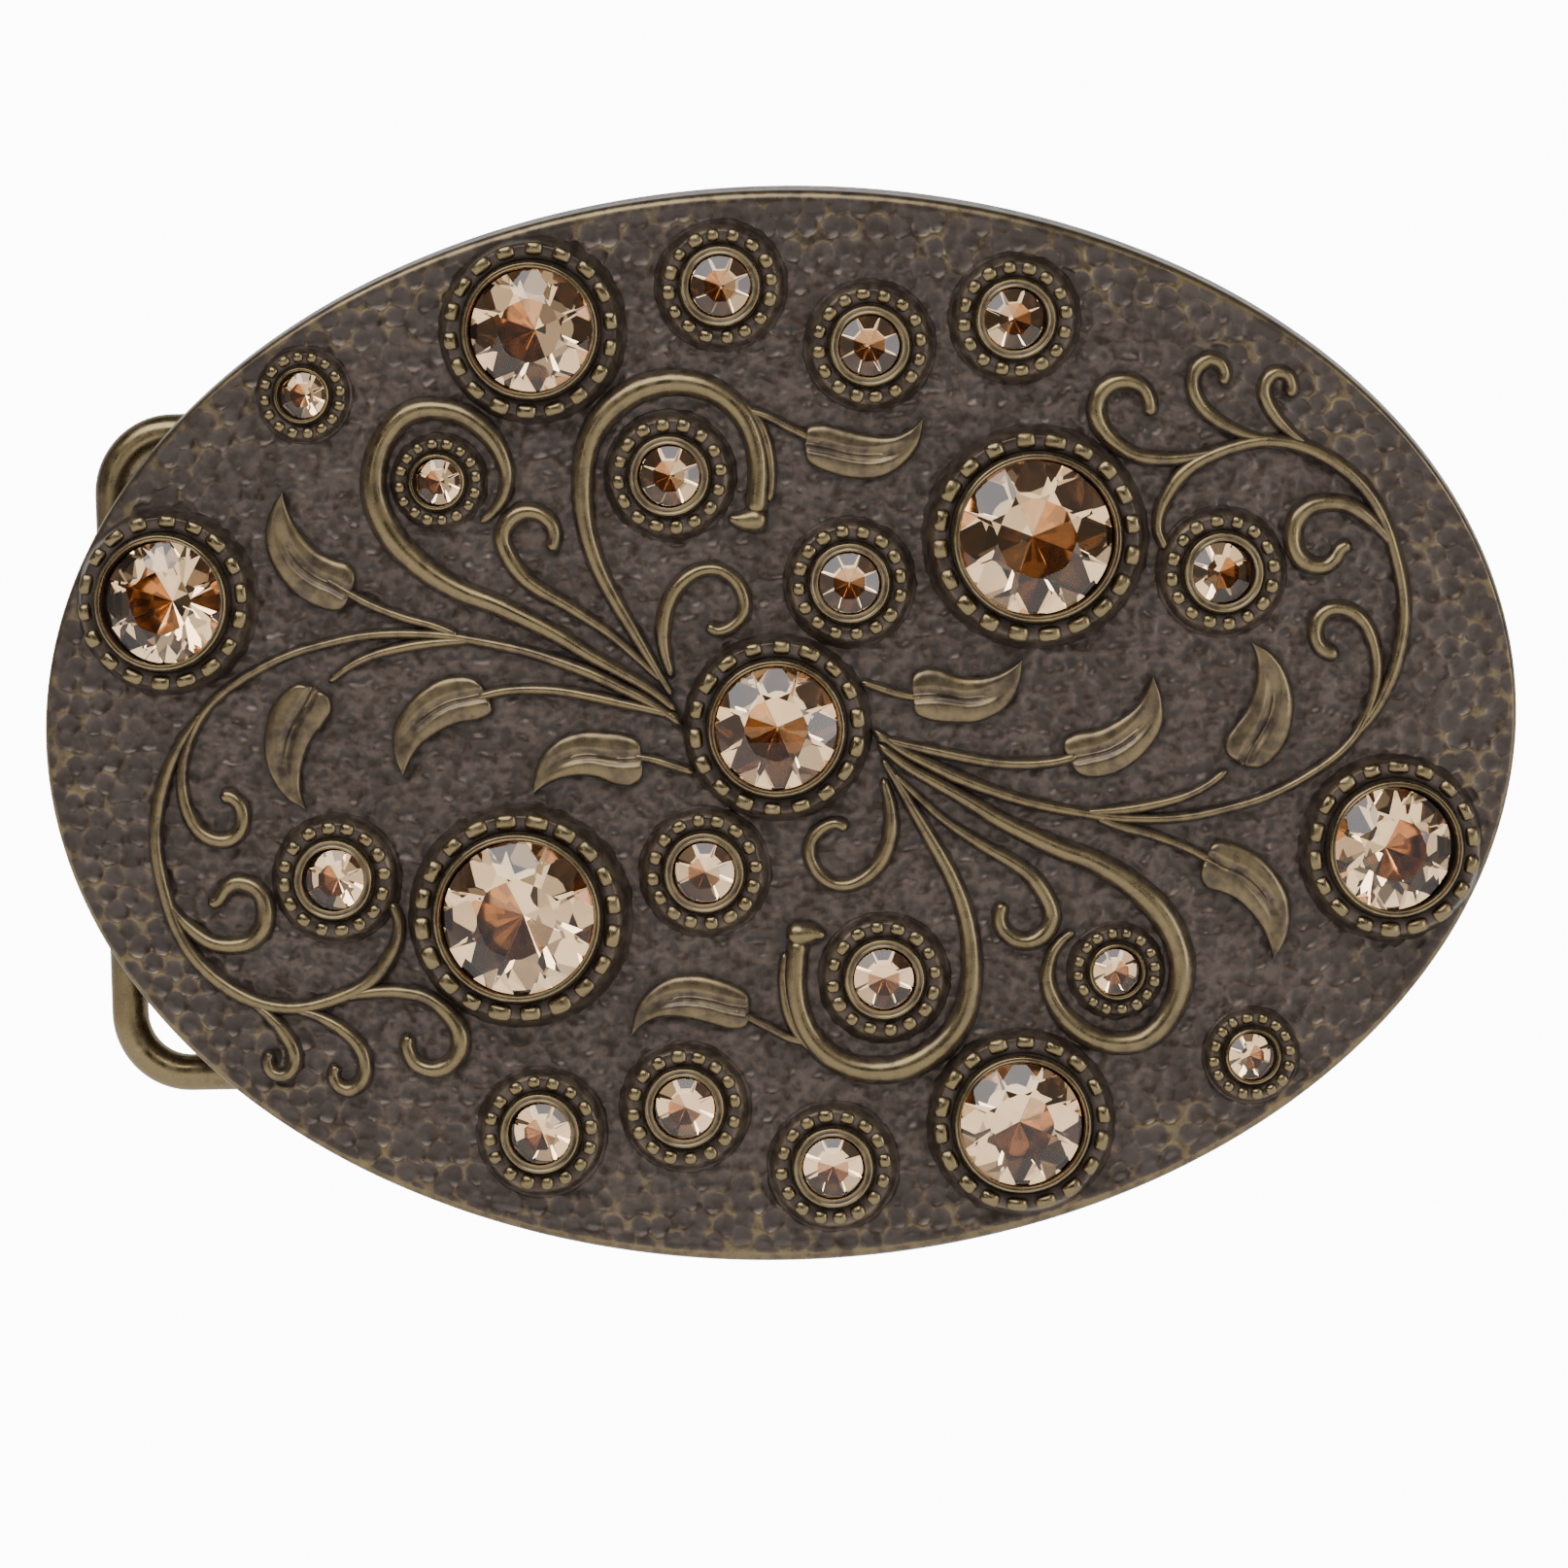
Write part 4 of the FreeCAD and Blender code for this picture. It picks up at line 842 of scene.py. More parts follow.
def disc_grid(columns, rows):
    """A square grid pressed into the unit disc."""
    u, v = np.meshgrid(np.linspace(-1, 1, columns), np.linspace(-1, 1, rows))
    return (u * np.sqrt(1 - v**2 / 2)).ravel(), (v * np.sqrt(1 - u**2 / 2)).ravel()


def border(columns, rows):
    """Indices round a grid, counter-clockwise from its first corner."""
    low = list(range(columns))
    right = [row * columns + columns - 1 for row in range(1, rows)]
    top = [(rows - 1) * columns + column for column in range(columns - 2, -1, -1)]
    left = [row * columns for row in range(rows - 2, 0, -1)]
    return low + right + top + left


def inset_oval(p, q, inset):
    """Places on the oval for points of the unit disc, with the oval drawn in by an inset."""
    sizes = plate_sizes()
    reach = np.hypot(p, q)
    angle = np.arctan2(q, p)
    inset = inset * (0.6 + 0.7 * np.sin(angle) ** 2)
    outward = np.stack([np.cos(angle) * sizes.height, np.sin(angle) * sizes.width])
    outward /= np.linalg.norm(outward, axis=0)
    x = np.cos(angle) * sizes.width / 2 - outward[0] * inset
    z = np.sin(angle) * sizes.height / 2 - outward[1] * inset
    return x * reach, z * reach


def wall_points(p, q, inset, rise):
    """Points of the oval, drawn in by an inset."""
    x, z = inset_oval(p, q, inset)
    return bent(x, z, rise)


def build_plate():
    """The oval wall in one closed mesh: hammered face, rounded edge, drafted rim and smooth back."""
    sizes = plate_sizes()
    columns = sizes.grid // 8 * 8 + 1
    rows = int(columns * sizes.height / sizes.width) // 8 * 8 + 1
    ground = Ground()
    p, q = disc_grid(columns, rows)
    inset = sizes.draft + sizes.edge_round
    x, z = inset_oval(p, q, inset)
    rise, wear, soot = ground.at(x, z)
    calm = smoothstep(np.hypot(p, q), 0.975, 0.998)
    shape = Shape()
    shape.add(bent(x, z, rise * (1 - calm)), grid_faces(rows, columns), wear, soot)

    ring = border(columns, rows)
    ring_p, ring_q = p[ring], q[ring]
    rings = []
    # The rounded front edge is lighter towards the face: rubbing and a painted highlight.
    for step in range(1, 6):
        turn = step / 5 * math.pi / 2
        drawn = sizes.draft + sizes.edge_round * (1 - math.sin(turn))
        rings.append((drawn, -sizes.edge_round * (1 - math.cos(turn)), 0.62 - 0.04 * step))
    low = -sizes.thickness
    for share, worn_and_lit in ((0.25, 0.45), (0.5, 0.30), (0.75, 0.32)):
        height = share * (low + sizes.edge_round) - sizes.edge_round * (1 - share)
        rings.append((sizes.draft * (1 - share), height, worn_and_lit))
    rings += [(0.0, low + 0.15 * MM, 0.5), (0.05 * MM, low + 0.04 * MM, 0.75), (0.15 * MM, low, 0.55)]
    for index, (drawn, height, worn_and_lit) in enumerate(rings):
        before = ring if index == 0 else [shape.count - len(ring) + i for i in range(len(ring))]
        start = shape.count
        shape.add(wall_points(ring_p, ring_q, drawn, height), [], worn_and_lit)
        for i in range(len(ring)):
            after = (i + 1) % len(ring)
            shape.faces.append((before[i], start + i, start + after, before[after]))

    back_columns, back_rows = (columns - 1) // 8 + 1, (rows - 1) // 8 + 1
    back_p, back_q = disc_grid(back_columns, back_rows)
    last = shape.count - len(ring)
    back = shape.count
    drawn = 1.2 * MM
    back_faces = [face[::-1] for face in grid_faces(back_rows, back_columns)]
    shape.add(wall_points(back_p, back_q, drawn, low), back_faces, 0.22, 0.0)
    back_ring = border(back_columns, back_rows)
    for i, corner in enumerate(back_ring):
        after = back_ring[(i + 1) % len(back_ring)]
        fine = [last + (8 * i + step) % len(ring) for step in range(9)]
        shape.faces.append((back + corner, back + after, *fine[::-1]))
    return shape


def build_lugs(shape):
    """Two ears with the hinge bore, rooted in the plate's back."""
    sizes = fitting_sizes()
    segments = 40
    root = -plate_sizes().thickness * 0.5
    base = bent(HINGE.x, 0.0, -plate_sizes().thickness)[1] - HINGE.y + root * 0.5
    turns = np.linspace(0, math.pi, segments // 2 + 1)
    outer = [(math.cos(turn) * sizes.lug_radius, math.sin(turn) * sizes.lug_radius) for turn in turns]
    outer += [(-sizes.lug_radius * 1.12, base), (sizes.lug_radius * 1.12, base)]
    bevel = 0.3 * MM
    for side in SIDES:
        inner_z, outer_z = sizes.lug_inner * side, sizes.lug_outer * side
        levels = [(inner_z, bevel), (inner_z + bevel * side, 0),
                  (outer_z - bevel * side, 0), (outer_z, bevel)]
        points, rings = [], len(outer)
        for z, drawn in levels:
            scale = 1 - drawn / sizes.lug_radius
            points += [
                (HINGE.x + x * scale, HINGE.y + y * (scale if y > 0 else 1), HINGE.z + z) for x, y in outer
            ]
        faces = grid_faces(len(levels), rings, closed=True)
        start = len(points)
        bore = [(math.cos(turn), math.sin(turn)) for turn in np.arange(rings) * 2 * math.pi / rings]
        for z in (inner_z, outer_z):
            points += [
                (HINGE.x + x * sizes.bore_radius, HINGE.y + y * sizes.bore_radius, HINGE.z + z)
                for x, y in bore
            ]
        faces += [face[::-1] for face in grid_faces(2, rings, closed=True, start=start)]
        for i in range(rings):
            after = (i + 1) % rings
            faces.append((i, after, start + after, start + i)[::-1])
            top = 3 * rings
            faces.append((top + i, top + after, start + rings + after, start + rings + i))
        if side < 0:
            faces = [face[::-1] for face in faces]
        shape.add(points, faces, 0.42)


def build_boss(shape):
    """The hook's boss, with a fillet at its root."""
    sizes = fitting_sizes()
    mount = MOUNTS["hook_peg"]
    axis = Vector(mount["axis"])
    top = Vector(mount["pos_m"]) - axis * mount["dims"]["length_mm"] * MM / 2
    radius, height = sizes.boss_radius, sizes.boss_height
    profile = [
        (0, -height - 1.3 * MM), (radius + 0.5 * MM, -height - 1.3 * MM),
        (radius + 0.9 * MM, -height - 0.2 * MM),
        (radius + 0.35 * MM, -height + 0.45 * MM), (radius + 0.05 * MM, -height + 1.1 * MM),
        (radius, -0.5 * MM), (radius - 0.12 * MM, -0.15 * MM), (radius - 0.4 * MM, 0),
        (1.5 * MM, 0), (1.41 * MM, -0.1 * MM), (1.41 * MM, -3.7 * MM), (0, -3.7 * MM),
    ]
    wear = [0.2, 0.2, 0.2, 0.25, 0.35, 0.5, 0.75, 0.6, 0.4, 0.1, 0.0, 0.0]
    points, faces = lathe(profile, 64)
    shape.add(placed(points, frame_along(top, axis)), faces, spread(wear, 64))


def frame_along(place, axis):
    """A frame at a place, with Z along an axis."""
    return Matrix.Translation(place) @ axis.to_track_quat("Z", "Y").to_matrix().to_4x4()


# ------------------------------------------------------------------ scrolls and leaves


def build_scroll(shape, line):
    """A half-round bead of metal along a line, thin at its ends."""
    sizes = ornament_sizes()
    ends = line.rounded_ends()
    width = line.width * ends
    rise = (sizes.scroll_rise + 0.42 * line.width) * (0.35 + 0.65 * ends)
    across = 13
    angle = np.linspace(0, math.pi, across)
    offset = np.cos(angle)
    crown = np.sin(angle) ** 1.1
    foot = 1.32
    x = line.x[:, None] + line.aside[:, :1] * (offset * foot * width[:, None] / 2)
    z = line.z[:, None] + line.aside[:, 1:] * (offset * foot * width[:, None] / 2)
    height = crown * rise[:, None] - (1 - crown) ** 3 * sizes.root
    points = bent(x, z, height).reshape(-1, 3)
    faces = grid_faces(len(line.x), across)
    faces += [(row * across + across - 1, row * across, (row + 1) * across, (row + 1) * across + across - 1)
              for row in range(len(line.x) - 1)]
    faces += [tuple(range(across)), tuple(range(len(points) - across, len(points)))[::-1]]
    # Lighter along the crown, more on thick scrolls: rubbing and a painted highlight; darker down the flanks
    # to the foot: patina and painted shade.
    thick = smoothstep(line.width, 0.35 * MM, 1.1 * MM)[:, None]
    wear = 0.10 + (0.46 + 0.12 * thick) * crown**1.2
    soot = np.broadcast_to(np.clip(1 - crown, 0, 1) ** 1.6 * 0.95, wear.shape)
    shape.add(points, [face[::-1] for face in faces], np.broadcast_to(wear, x.shape).ravel(), soot.ravel())


def build_leaf(shape, out, back, side):
    """Two plump lobes on either side of a grooved midrib, joined at the tip."""
    sizes = ornament_sizes()
    steps, across = 44, 33
    left, right = leaf_halves(out, back, steps)
    s = np.linspace(-1, 1, across)
    t = np.linspace(0, 1, steps)[:, None]
    half = np.linalg.norm(left - right, axis=1)[:, None] / 2
    share = (s + 1) / 2
    x = (left[:, :1] * (1 - share) + right[:, :1] * share) * side
    z = (left[:, 1:] * (1 - share) + right[:, 1:] * share) * side
    from_rib = np.abs(s) * half
    rib_half = 0.22 * MM
    rib = np.exp(-((from_rib / rib_half) ** 2)) * (1 - smoothstep(t, 0.55, 0.82))
    beside_rib = 0.62 + 0.38 * smoothstep(from_rib, 0.12 * MM, 0.58 * MM)
    lobe = np.sqrt(np.clip(1 - np.abs(s) ** 5, 0, 1)) * beside_rib
    tip = smoothstep(t, 0.50, 0.85)
    lobe = lobe * (1 - tip) + tip * np.sqrt(np.clip(1 - s**4, 0, 1))
    open_end = smoothstep(t, 0.0, 0.10)
    rise = sizes.leaf_rise * (0.22 + 0.78 * lobe) * (0.55 + 0.45 * open_end)
    rise = np.maximum(rise, sizes.leaf_rise * 0.92 * rib)
    border_drop = (np.abs(s) > 0.999) | (t < 1e-6)
    rise = np.where(border_drop, 0.0, rise)
    top = bent(x, z, rise).reshape(-1, 3)
    bottom = bent(x, z, -sizes.root + 0 * rise).reshape(-1, 3)
    count = steps * across
    faces = grid_faces(steps, across)
    faces += [face[::-1] for face in grid_faces(steps, across, start=count)]
    ring = border(across, steps)
    for i, corner in enumerate(ring):
        after = ring[(i + 1) % len(ring)]
        faces.append((after, corner, count + corner, count + after))
    # Lobes and midrib lighter, and the outer edges too: rubbing and a painted highlight; the low ground
    # between them darker with painted shade, except near the tip.
    wear = 0.10 + 0.42 * lobe + 0.34 * rib * (1 - lobe) + 0.22 * np.abs(s) ** 4
    soot = np.clip(0.65 - 1.2 * lobe - 1.5 * rib, 0, 0.12) * (1 - tip)
    wear, soot = (
        np.concatenate([np.broadcast_to(layer, x.shape).ravel(), np.zeros(count)])
        for layer in (wear, soot)
    )
    flip = np.cross(top[1] - top[0], top[across] - top[0])[1] > 0
    shape.add(np.concatenate([top, bottom]), [face[::-1] for face in faces] if flip else faces, wear, soot)


# ------------------------------------------------------------------ settings and stones


def setting_profile(seat):
    """Radius, height, rubbing and blackening from the hidden root, over the foot and rim, into the cup; the
    rubbing also carries a painted highlight and the blackening a painted shade.
    """
    ledge, height, rim, stone = seat.ledge, seat.height, seat.rim, seat.stone
    ring = 0.80 * min(seat.foot - seat.beads, seat.beads - rim)
    span = seat.foot - seat.beads
    root = min(seat.point - 0.28 * MM, -0.55 * MM)
    cup = stone + 0.05 * MM
    slope = PAVILION_SLOPE
    corner = stone / math.cos(math.pi / 8)
    shoulder = seat.girdle_low - 0.15 * MM - (corner - cup) * slope
    # Lighter on the outer shoulder and on the rim tops: a painted highlight with rubbing; darker in the root
    # and in the groove between beads and rim: painted shade with patina.
    outside = [
        (seat.foot + 0.25 * MM, -0.30 * MM, 0.15, 0.2),
        (seat.foot + 0.06 * MM, 0.02 * MM, 0.18, 0.05),
        (seat.foot - 0.12 * span, 0.22 * ledge, 0.26, 0.0),
        (seat.foot - 0.27 * span, 0.50 * ledge, 0.34, 0.0),
        (seat.foot - 0.44 * span, 0.76 * ledge, 0.42, 0.0),
        (seat.foot - 0.62 * span, 0.93 * ledge, 0.40, 0.0),
        (seat.foot - 0.78 * span, ledge, 0.24, 0.1),
        (seat.beads - 0.4 * ring, ledge - 0.02 * MM, 0.14, 0.25),
        (seat.beads - ring, ledge - 0.12 * MM, 0.08, 0.5),
        (rim + 0.06 * MM, ledge - 0.16 * MM, 0.10, 0.75),
        (rim - 0.01 * MM, height - 0.36 * MM, 0.55, 0.15),
        (rim - 0.08 * MM, height - 0.12 * MM, 0.80, 0.0),
        (rim - 0.20 * MM, height - 0.01 * MM, 0.80, 0.0),
        (rim - 0.5 * (rim - stone), height - 0.09 * MM, 0.40, 0.35),
        (stone + 0.16 * MM, height - 0.02 * MM, 0.78, 0.0),
        (cup + 0.02 * MM, height - 0.24 * MM, 0.35, 0.5),
    ]
    path = rounded(outside, 4)
    # The cup inside is blackened: painted shade.
    inside = [
        (cup, height - 0.5 * MM, 0.1, 0.9),
        (cup, shoulder, 0.0, 1.0),
        (0.04 * stone, seat.point - 0.15 * MM, 0.0, 1.0),
        (0.0, seat.point - 0.15 * MM, 0.0, 1.0),
    ]
    under = [(0.0, root, 0, 1), (seat.foot - 0.7 * MM, root, 0, 1), (seat.foot, -0.5 * MM, 0, 1)]
    return under + [tuple(point) for point in path] + inside


def build_setting(shape, seat):
    """A turned setting with its rim and cup."""
    profile = setting_profile(seat)
    segments = 112 if seat.stone > 3 * MM else 72
    points, faces = lathe(profile, segments)
    wear, soot = (spread([point[layer] for point in profile], segments) for layer in (2, 3))
    shape.add(placed(points, on_ground(seat.x, seat.z)), faces, wear, soot)


def build_beads(shape, seat, rng):
    """Cast beads round a setting: soft-cornered lumps, no two quite alike."""
    rows, segments = 8, 16
    squareness = 0.62 if seat.stone > 3 * MM else 0.8
    tilt = np.linspace(-0.35 * math.pi / 2, math.pi / 2, rows)
    around = np.arange(segments) * 2 * math.pi / segments

    def soft(value):
        return np.sign(value) * np.abs(value) ** squareness

    place = on_ground(seat.x, seat.z)
    high = 0.40 * MM if seat.stone > 3 * MM else 0.32 * MM
    for bead in range(seat.count):
        turn = 2 * math.pi * (bead + rng.uniform(-0.05, 0.05)) / seat.count + 0.1
        size = rng.uniform(0.86, 1.08)
        length, width = seat.bead_length * size, seat.bead_width * rng.uniform(0.9, 1.08)
        lift = seat.ledge - 0.06 * MM
        across = np.outer(np.cos(tilt), soft(np.cos(around))) * width
        along = np.outer(np.cos(tilt), soft(np.sin(around))) * length
        up = np.outer(np.sin(tilt), np.ones(segments)) * high * rng.uniform(0.88, 1.1)
        flat = np.stack([seat.beads + rng.uniform(-0.04, 0.04) * MM + across, along, lift + up], axis=-1)
        flat = flat.reshape(-1, 3)[: -segments + 1]
        spin = np.array(Matrix.Rotation(turn, 3, "Z"))
        faces = grid_faces(rows - 1, segments, closed=True)
        top = (rows - 2) * segments
        tip = (rows - 1) * segments
        faces += [(top + i, top + (i + 1) % segments, tip) for i in range(segments)]
        faces.append(tuple(range(segments))[::-1])
        level = np.concatenate([np.repeat(np.sin(tilt[:-1]), segments), [1.0]])
        # Lighter towards each bead's top: a painted highlight with rubbing; darker at its foot: painted
        # shade.
        wear = 0.36 + 0.44 * np.clip(level, 0, 1) ** 0.8
        soot = np.clip(0.45 - 2.0 * level, 0, 1)
        shape.add(placed(flat @ spin.T, place), faces, wear, soot)


def pavilion(seat):
    """The faces of a stone's underside."""
    source = frame["nodes"][seat.node].data
    place = on_ground(seat.x, seat.z)
    normal = place.to_3x3() @ Vector((0, 0, 1))
    inverse = place.inverted()
    return [
        polygon for polygon in source.polygons
        if polygon.normal.dot(normal) < -0.2
        and max((inverse @ source.vertices[i].co).z for i in polygon.vertices) <= seat.girdle_low + 0.61 * MM
    ]


def add_facet(shape, corners, shade, pale):
    """One flat facet of foil, with its painted shade and its painted pale reflection."""
    shape.add([tuple(corner) for corner in corners], [tuple(range(len(corners)))], shade, pale)


def build_foil(seat, material):
    """A thin skin just behind a stone's pavilion, facing out of the cup, cut into wedges painted dark, light
    and pale in place of facet reflections.
    """
    source = frame["nodes"][seat.node].data
    inverse = on_ground(seat.x, seat.z).inverted()
    keep = pavilion(seat)
    shape = Shape()
    rng = random.Random(seat.node)
    for polygon in keep:
        lifted = [source.vertices[i].co + polygon.normal * 0.02 * MM for i in polygon.vertices]
        reach = [(inverse @ point).xy.length for point in lifted]
        start = reach.index(min(reach))
        tip, *rest = lifted[start:] + lifted[:start]
        for first, second in zip(rest, rest[1:]):
            for step in range(3):
                near, far = first.lerp(second, step / 3), first.lerp(second, (step + 1) / 3)
                knee = rng.uniform(0.35, 0.6)
                inner = [tip, tip.lerp(near, knee), tip.lerp(far, knee)]
                outer = [inner[1], near, far, inner[2]]
                # Painted reflection: outer wedges in the lower half go pale, as if mirroring the bright
                # floor.
                below = smoothstep((seat.z - (near.z + far.z) / 2) / seat.stone, 0.0, 0.7)
                # Painted reflection: each wedge gets a random shade from dark to light, a star of facet
                # glints.
                add_facet(shape, inner, rng.choice((0.0, 0.1, 0.7, 1.0)), 0.0)
                shade = rng.choice((0.2, 0.6, 0.8, 1.0))
                add_facet(shape, outer, shade, rng.choice((0.1, 0.4, 0.7)) * below)
    foil = shape.piece(f"foil_{seat.place}", material, slot="topaz_glass")
    foil.data.shade_flat()
    return foil


def build_pad(shape, seat):
    """The cured glue behind one stone's foil: a shell of even thickness that follows the pavilion."""
    source = frame["nodes"][seat.node].data
    down = -(on_ground(seat.x, seat.z).to_3x3() @ Vector((0, 0, 1)))
    keep = pavilion(seat)
    used = sorted({index for polygon in keep for index in polygon.vertices})
    row = {index: place for place, index in enumerate(used)}
    upper = [tuple(source.vertices[index].co + down * 0.07 * MM) for index in used]
    lower = [tuple(source.vertices[index].co + down * 0.13 * MM) for index in used]
    faces = []
    edges = set()
    for polygon in keep:
        ring = [row[index] for index in polygon.vertices]
        faces.append(tuple(ring[::-1]))
        faces.append(tuple(index + len(used) for index in ring))
        edges.update(zip(ring, ring[1:] + ring[:1]))
    for first, second in sorted(edges):
        if (second, first) not in edges:
            faces.append((first, second, second + len(used), first + len(used)))
    shape.add(upper + lower, faces)


# ------------------------------------------------------------------ bail and hook


def bail_path():
    """The wire's middle line from one trunnion tip to the other, and the normal of its plane."""
    sizes = fitting_sizes()
    bar = Vector(MOUNTS["belt_bar"]["pos_m"])
    outward = (Vector((bar.x, bar.y, 0)) - Vector((HINGE.x, HINGE.y, 0))).normalized()
    flat = []

    def arc(x, z, radius, start, steps):
        for step in range(steps + 1):
            turn = start + step / steps * math.pi / 2
            flat.append((x + radius * math.cos(turn), z + radius * math.sin(turn)))

    def run(start, end, steps):
        for step in range(1, steps):
            share = step / steps
            flat.append(tuple(a + (b - a) * share for a, b in zip(start, end)))

    leg, bend, corner, reach = sizes.leg, sizes.bend, sizes.corner, sizes.reach
    tip = sizes.trunnion
    flat.append((0, tip))
    run((0, tip), (0, leg - bend), 6)
    arc(-bend, leg - bend, bend, 0, 14)
    run((-bend, leg), (corner - reach, leg), 10)
    arc(corner - reach, leg - corner, corner, math.pi / 2, 20)
    run((-reach, leg - corner), (-reach, corner - leg), 30)
    arc(corner - reach, corner - leg, corner, math.pi, 20)
    run((corner - reach, -leg), (-bend, -leg), 10)
    arc(-bend, bend - leg, bend, 1.5 * math.pi, 14)
    run((0, bend - leg), (0, -tip), 6)
    flat.append((0, -tip))
    path = np.array([tuple(HINGE - outward * u + Vector((0, 0, v))) for u, v in flat])
    normal = outward.cross(Vector((0, 0, 1)))
    return path, np.broadcast_to(tuple(normal), path.shape)


def build_bail(material):
    """Drawn round wire, with rounded trunnion tips."""
    radius = fitting_sizes().wire / 2
    path, normals = bail_path()
    run = np.concatenate([[0], np.cumsum(np.linalg.norm(np.diff(path, axis=0), axis=1))])
    ends = np.minimum(run, run[-1] - run)
    easing = np.clip(ends / (0.4 * MM), 0, 1)
    thickness = radius * (0.72 + 0.28 * np.sqrt(easing * (2 - easing)))
    points, faces = tube(path, normals, thickness, 32)
    angle = np.tile(np.arange(32) * 2 * math.pi / 32, len(path))
    # Lighter on the front and back of the wire: a painted highlight with rubbing; faint bands along its
    # length.
    wear = 0.50 + 0.18 * np.abs(np.cos(angle)) + 0.10 * np.sin(np.repeat(run, 32) * 420)
    shape = Shape()
    shape.add(points, faces, wear)
    return shape.piece("bail_wire_loop", material, body="bail", slot="bail_wire", sharp=50)


def build_hook(material):
    """The turned peg: shank, shoulder, straight barrel and round end."""
    mount = MOUNTS["hook_peg"]
    axis = Vector(mount["axis"])
    barrel = mount["dims"]["length_mm"] * MM
    radius = mount["dims"]["r_mm"] * MM
    base = Vector(mount["pos_m"]) - axis * barrel / 2
    shank = 1.4 * MM
    profile = [(0, -3.6 * MM, 0), (shank, -3.6 * MM, 0), (shank, 0, 0.1), (radius - 0.1 * MM, 0, 0.3),
               (radius, 0.1 * MM, 0.55)]
    rings = 14
    profile += [(radius, barrel * step / rings, 0.45 + 0.05 * (step % 2)) for step in range(1, rings + 1)]
    for step in range(1, 9):
        turn = step / 8 * math.pi / 2
        profile.append((radius * math.cos(turn), barrel + radius * math.sin(turn), 0.55 + 0.05 * step))
    profile[-1] = (0, barrel + radius, 0.95)
    points, faces = lathe(profile, 64)
    shape = Shape()
    wear = spread([point[2] for point in profile], 64)
    shape.add(placed(points, frame_along(base, axis)), faces, wear)
    return shape.piece("hook_peg", material, slot="hook_brass", sharp=40)


# ------------------------------------------------------------------ operators


class BUCKLE_OT_plate(bpy.types.Operator):
    """Casts the hammered oval plate with its lugs and boss"""

    bl_idname = "buckle.plate"
    bl_label = "Plate"

    def execute(self, context):
        make_patina_group()
        ground = patina_material("hammered ground", bump=0.10)
        plate = build_plate().piece("plate_wall", ground, sharp=60)
        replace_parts(plate, "front_plate")
        shape = Shape()
        build_lugs(shape)
        shape.piece("hinge_lugs", patina_material("cast lugs", bump=0.12), sharp=35)
        shape = Shape()
        build_boss(shape)
        shape.piece("hook_boss", bpy.data.materials["cast lugs"], sharp=45)
        return {"FINISHED"}


class BUCKLE_OT_scrolls(bpy.types.Operator):
    """Lays the scrolls and leaves on the ground"""

    bl_idname = "buckle.scrolls"
    bl_label = "Scrolls and leaves"

    def execute(self, context):
        # Scroll brass: rubbing and a painted highlight on the crowns, painted shade at the feet, from the
        # mesh layers.
        brass = patina_material("rubbed scrolls", bump=0.05)
        for name, (points, widths) in SCROLLS.items():
            shape = Shape()
            for side in SIDES:
                build_scroll(shape, Line(points, widths, side))
            shape.piece(name, brass, sharp=70)
        # Leaf brass: rubbing and a painted highlight on the lobes, painted shade in the grooves, from the
        # mesh layers.
        leaf_brass = patina_material("rubbed leaves", bump=0.06)
        for name, (out, back) in LEAVES.items():
            shape = Shape()
            for side in SIDES:
                build_leaf(shape, out, back, side)
            shape.piece(name, leaf_brass, sharp=70)
        return {"FINISHED"}


class BUCKLE_OT_settings(bpy.types.Operator):
    """Turns the settings and rings them with beads"""

    bl_idname = "buckle.settings"
    bl_label = "Settings and beads"

    def execute(self, context):
        rims = patina_material("setting brass", bump=0.05)
        beads = patina_material("bead brass", bump=0.04)
        rng = random.Random(11)
        for seat in all_seats():
            shape = Shape()
            build_setting(shape, seat)
            shape.piece(f"setting_{seat.place}", rims, sharp=75)
            shape = Shape()
            build_beads(shape, seat, rng)
            shape.piece(f"beads_{seat.place}", beads, sharp=75)
        return {"FINISHED"}


class BUCKLE_OT_stones(bpy.types.Operator):
    """Polishes the glass stones and lays foil behind them"""

    bl_idname = "buckle.stones"
    bl_label = "Stones"

    def execute(self, context):
        glass, foil, pads = glass_material(), foil_material(), Shape()
        for seat in all_seats():
            stone = frame["nodes"][seat.node]
            finish_node(stone, glass)
            build_foil(seat, foil)
            build_pad(pads, seat)
        glue = pads.piece("adhesive_pads", adhesive_material(), slot="cured_adhesive")
        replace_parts(glue, "seat_adhesive")
        return {"FINISHED"}


def finish_node(obj, material):
    """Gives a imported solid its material."""
    for slot in obj.material_slots:
        slot.material = material


class BUCKLE_OT_fittings(bpy.types.Operator):
    """Bends the bail and turns the hook"""

    bl_idname = "buckle.fittings"
    bl_label = "Bail and hook"

    def execute(self, context):
        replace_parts(build_bail(patina_material("bail brass", shift=0.02, bump=0.08)), "belt_bail")
        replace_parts(build_hook(patina_material("hook brass", shift=0.05, bump=0.05)), "hook_stud")
        return {"FINISHED"}


CAMERA_TURN = math.radians(1.5)
CAMERA_RISE = math.radians(3.5)
CAMERA_ROLL = math.radians(1.64)
CAMERA_AWAY = 0.60
VIEW_WIDTH = 0.1013
AIM_DROP = 0.00375


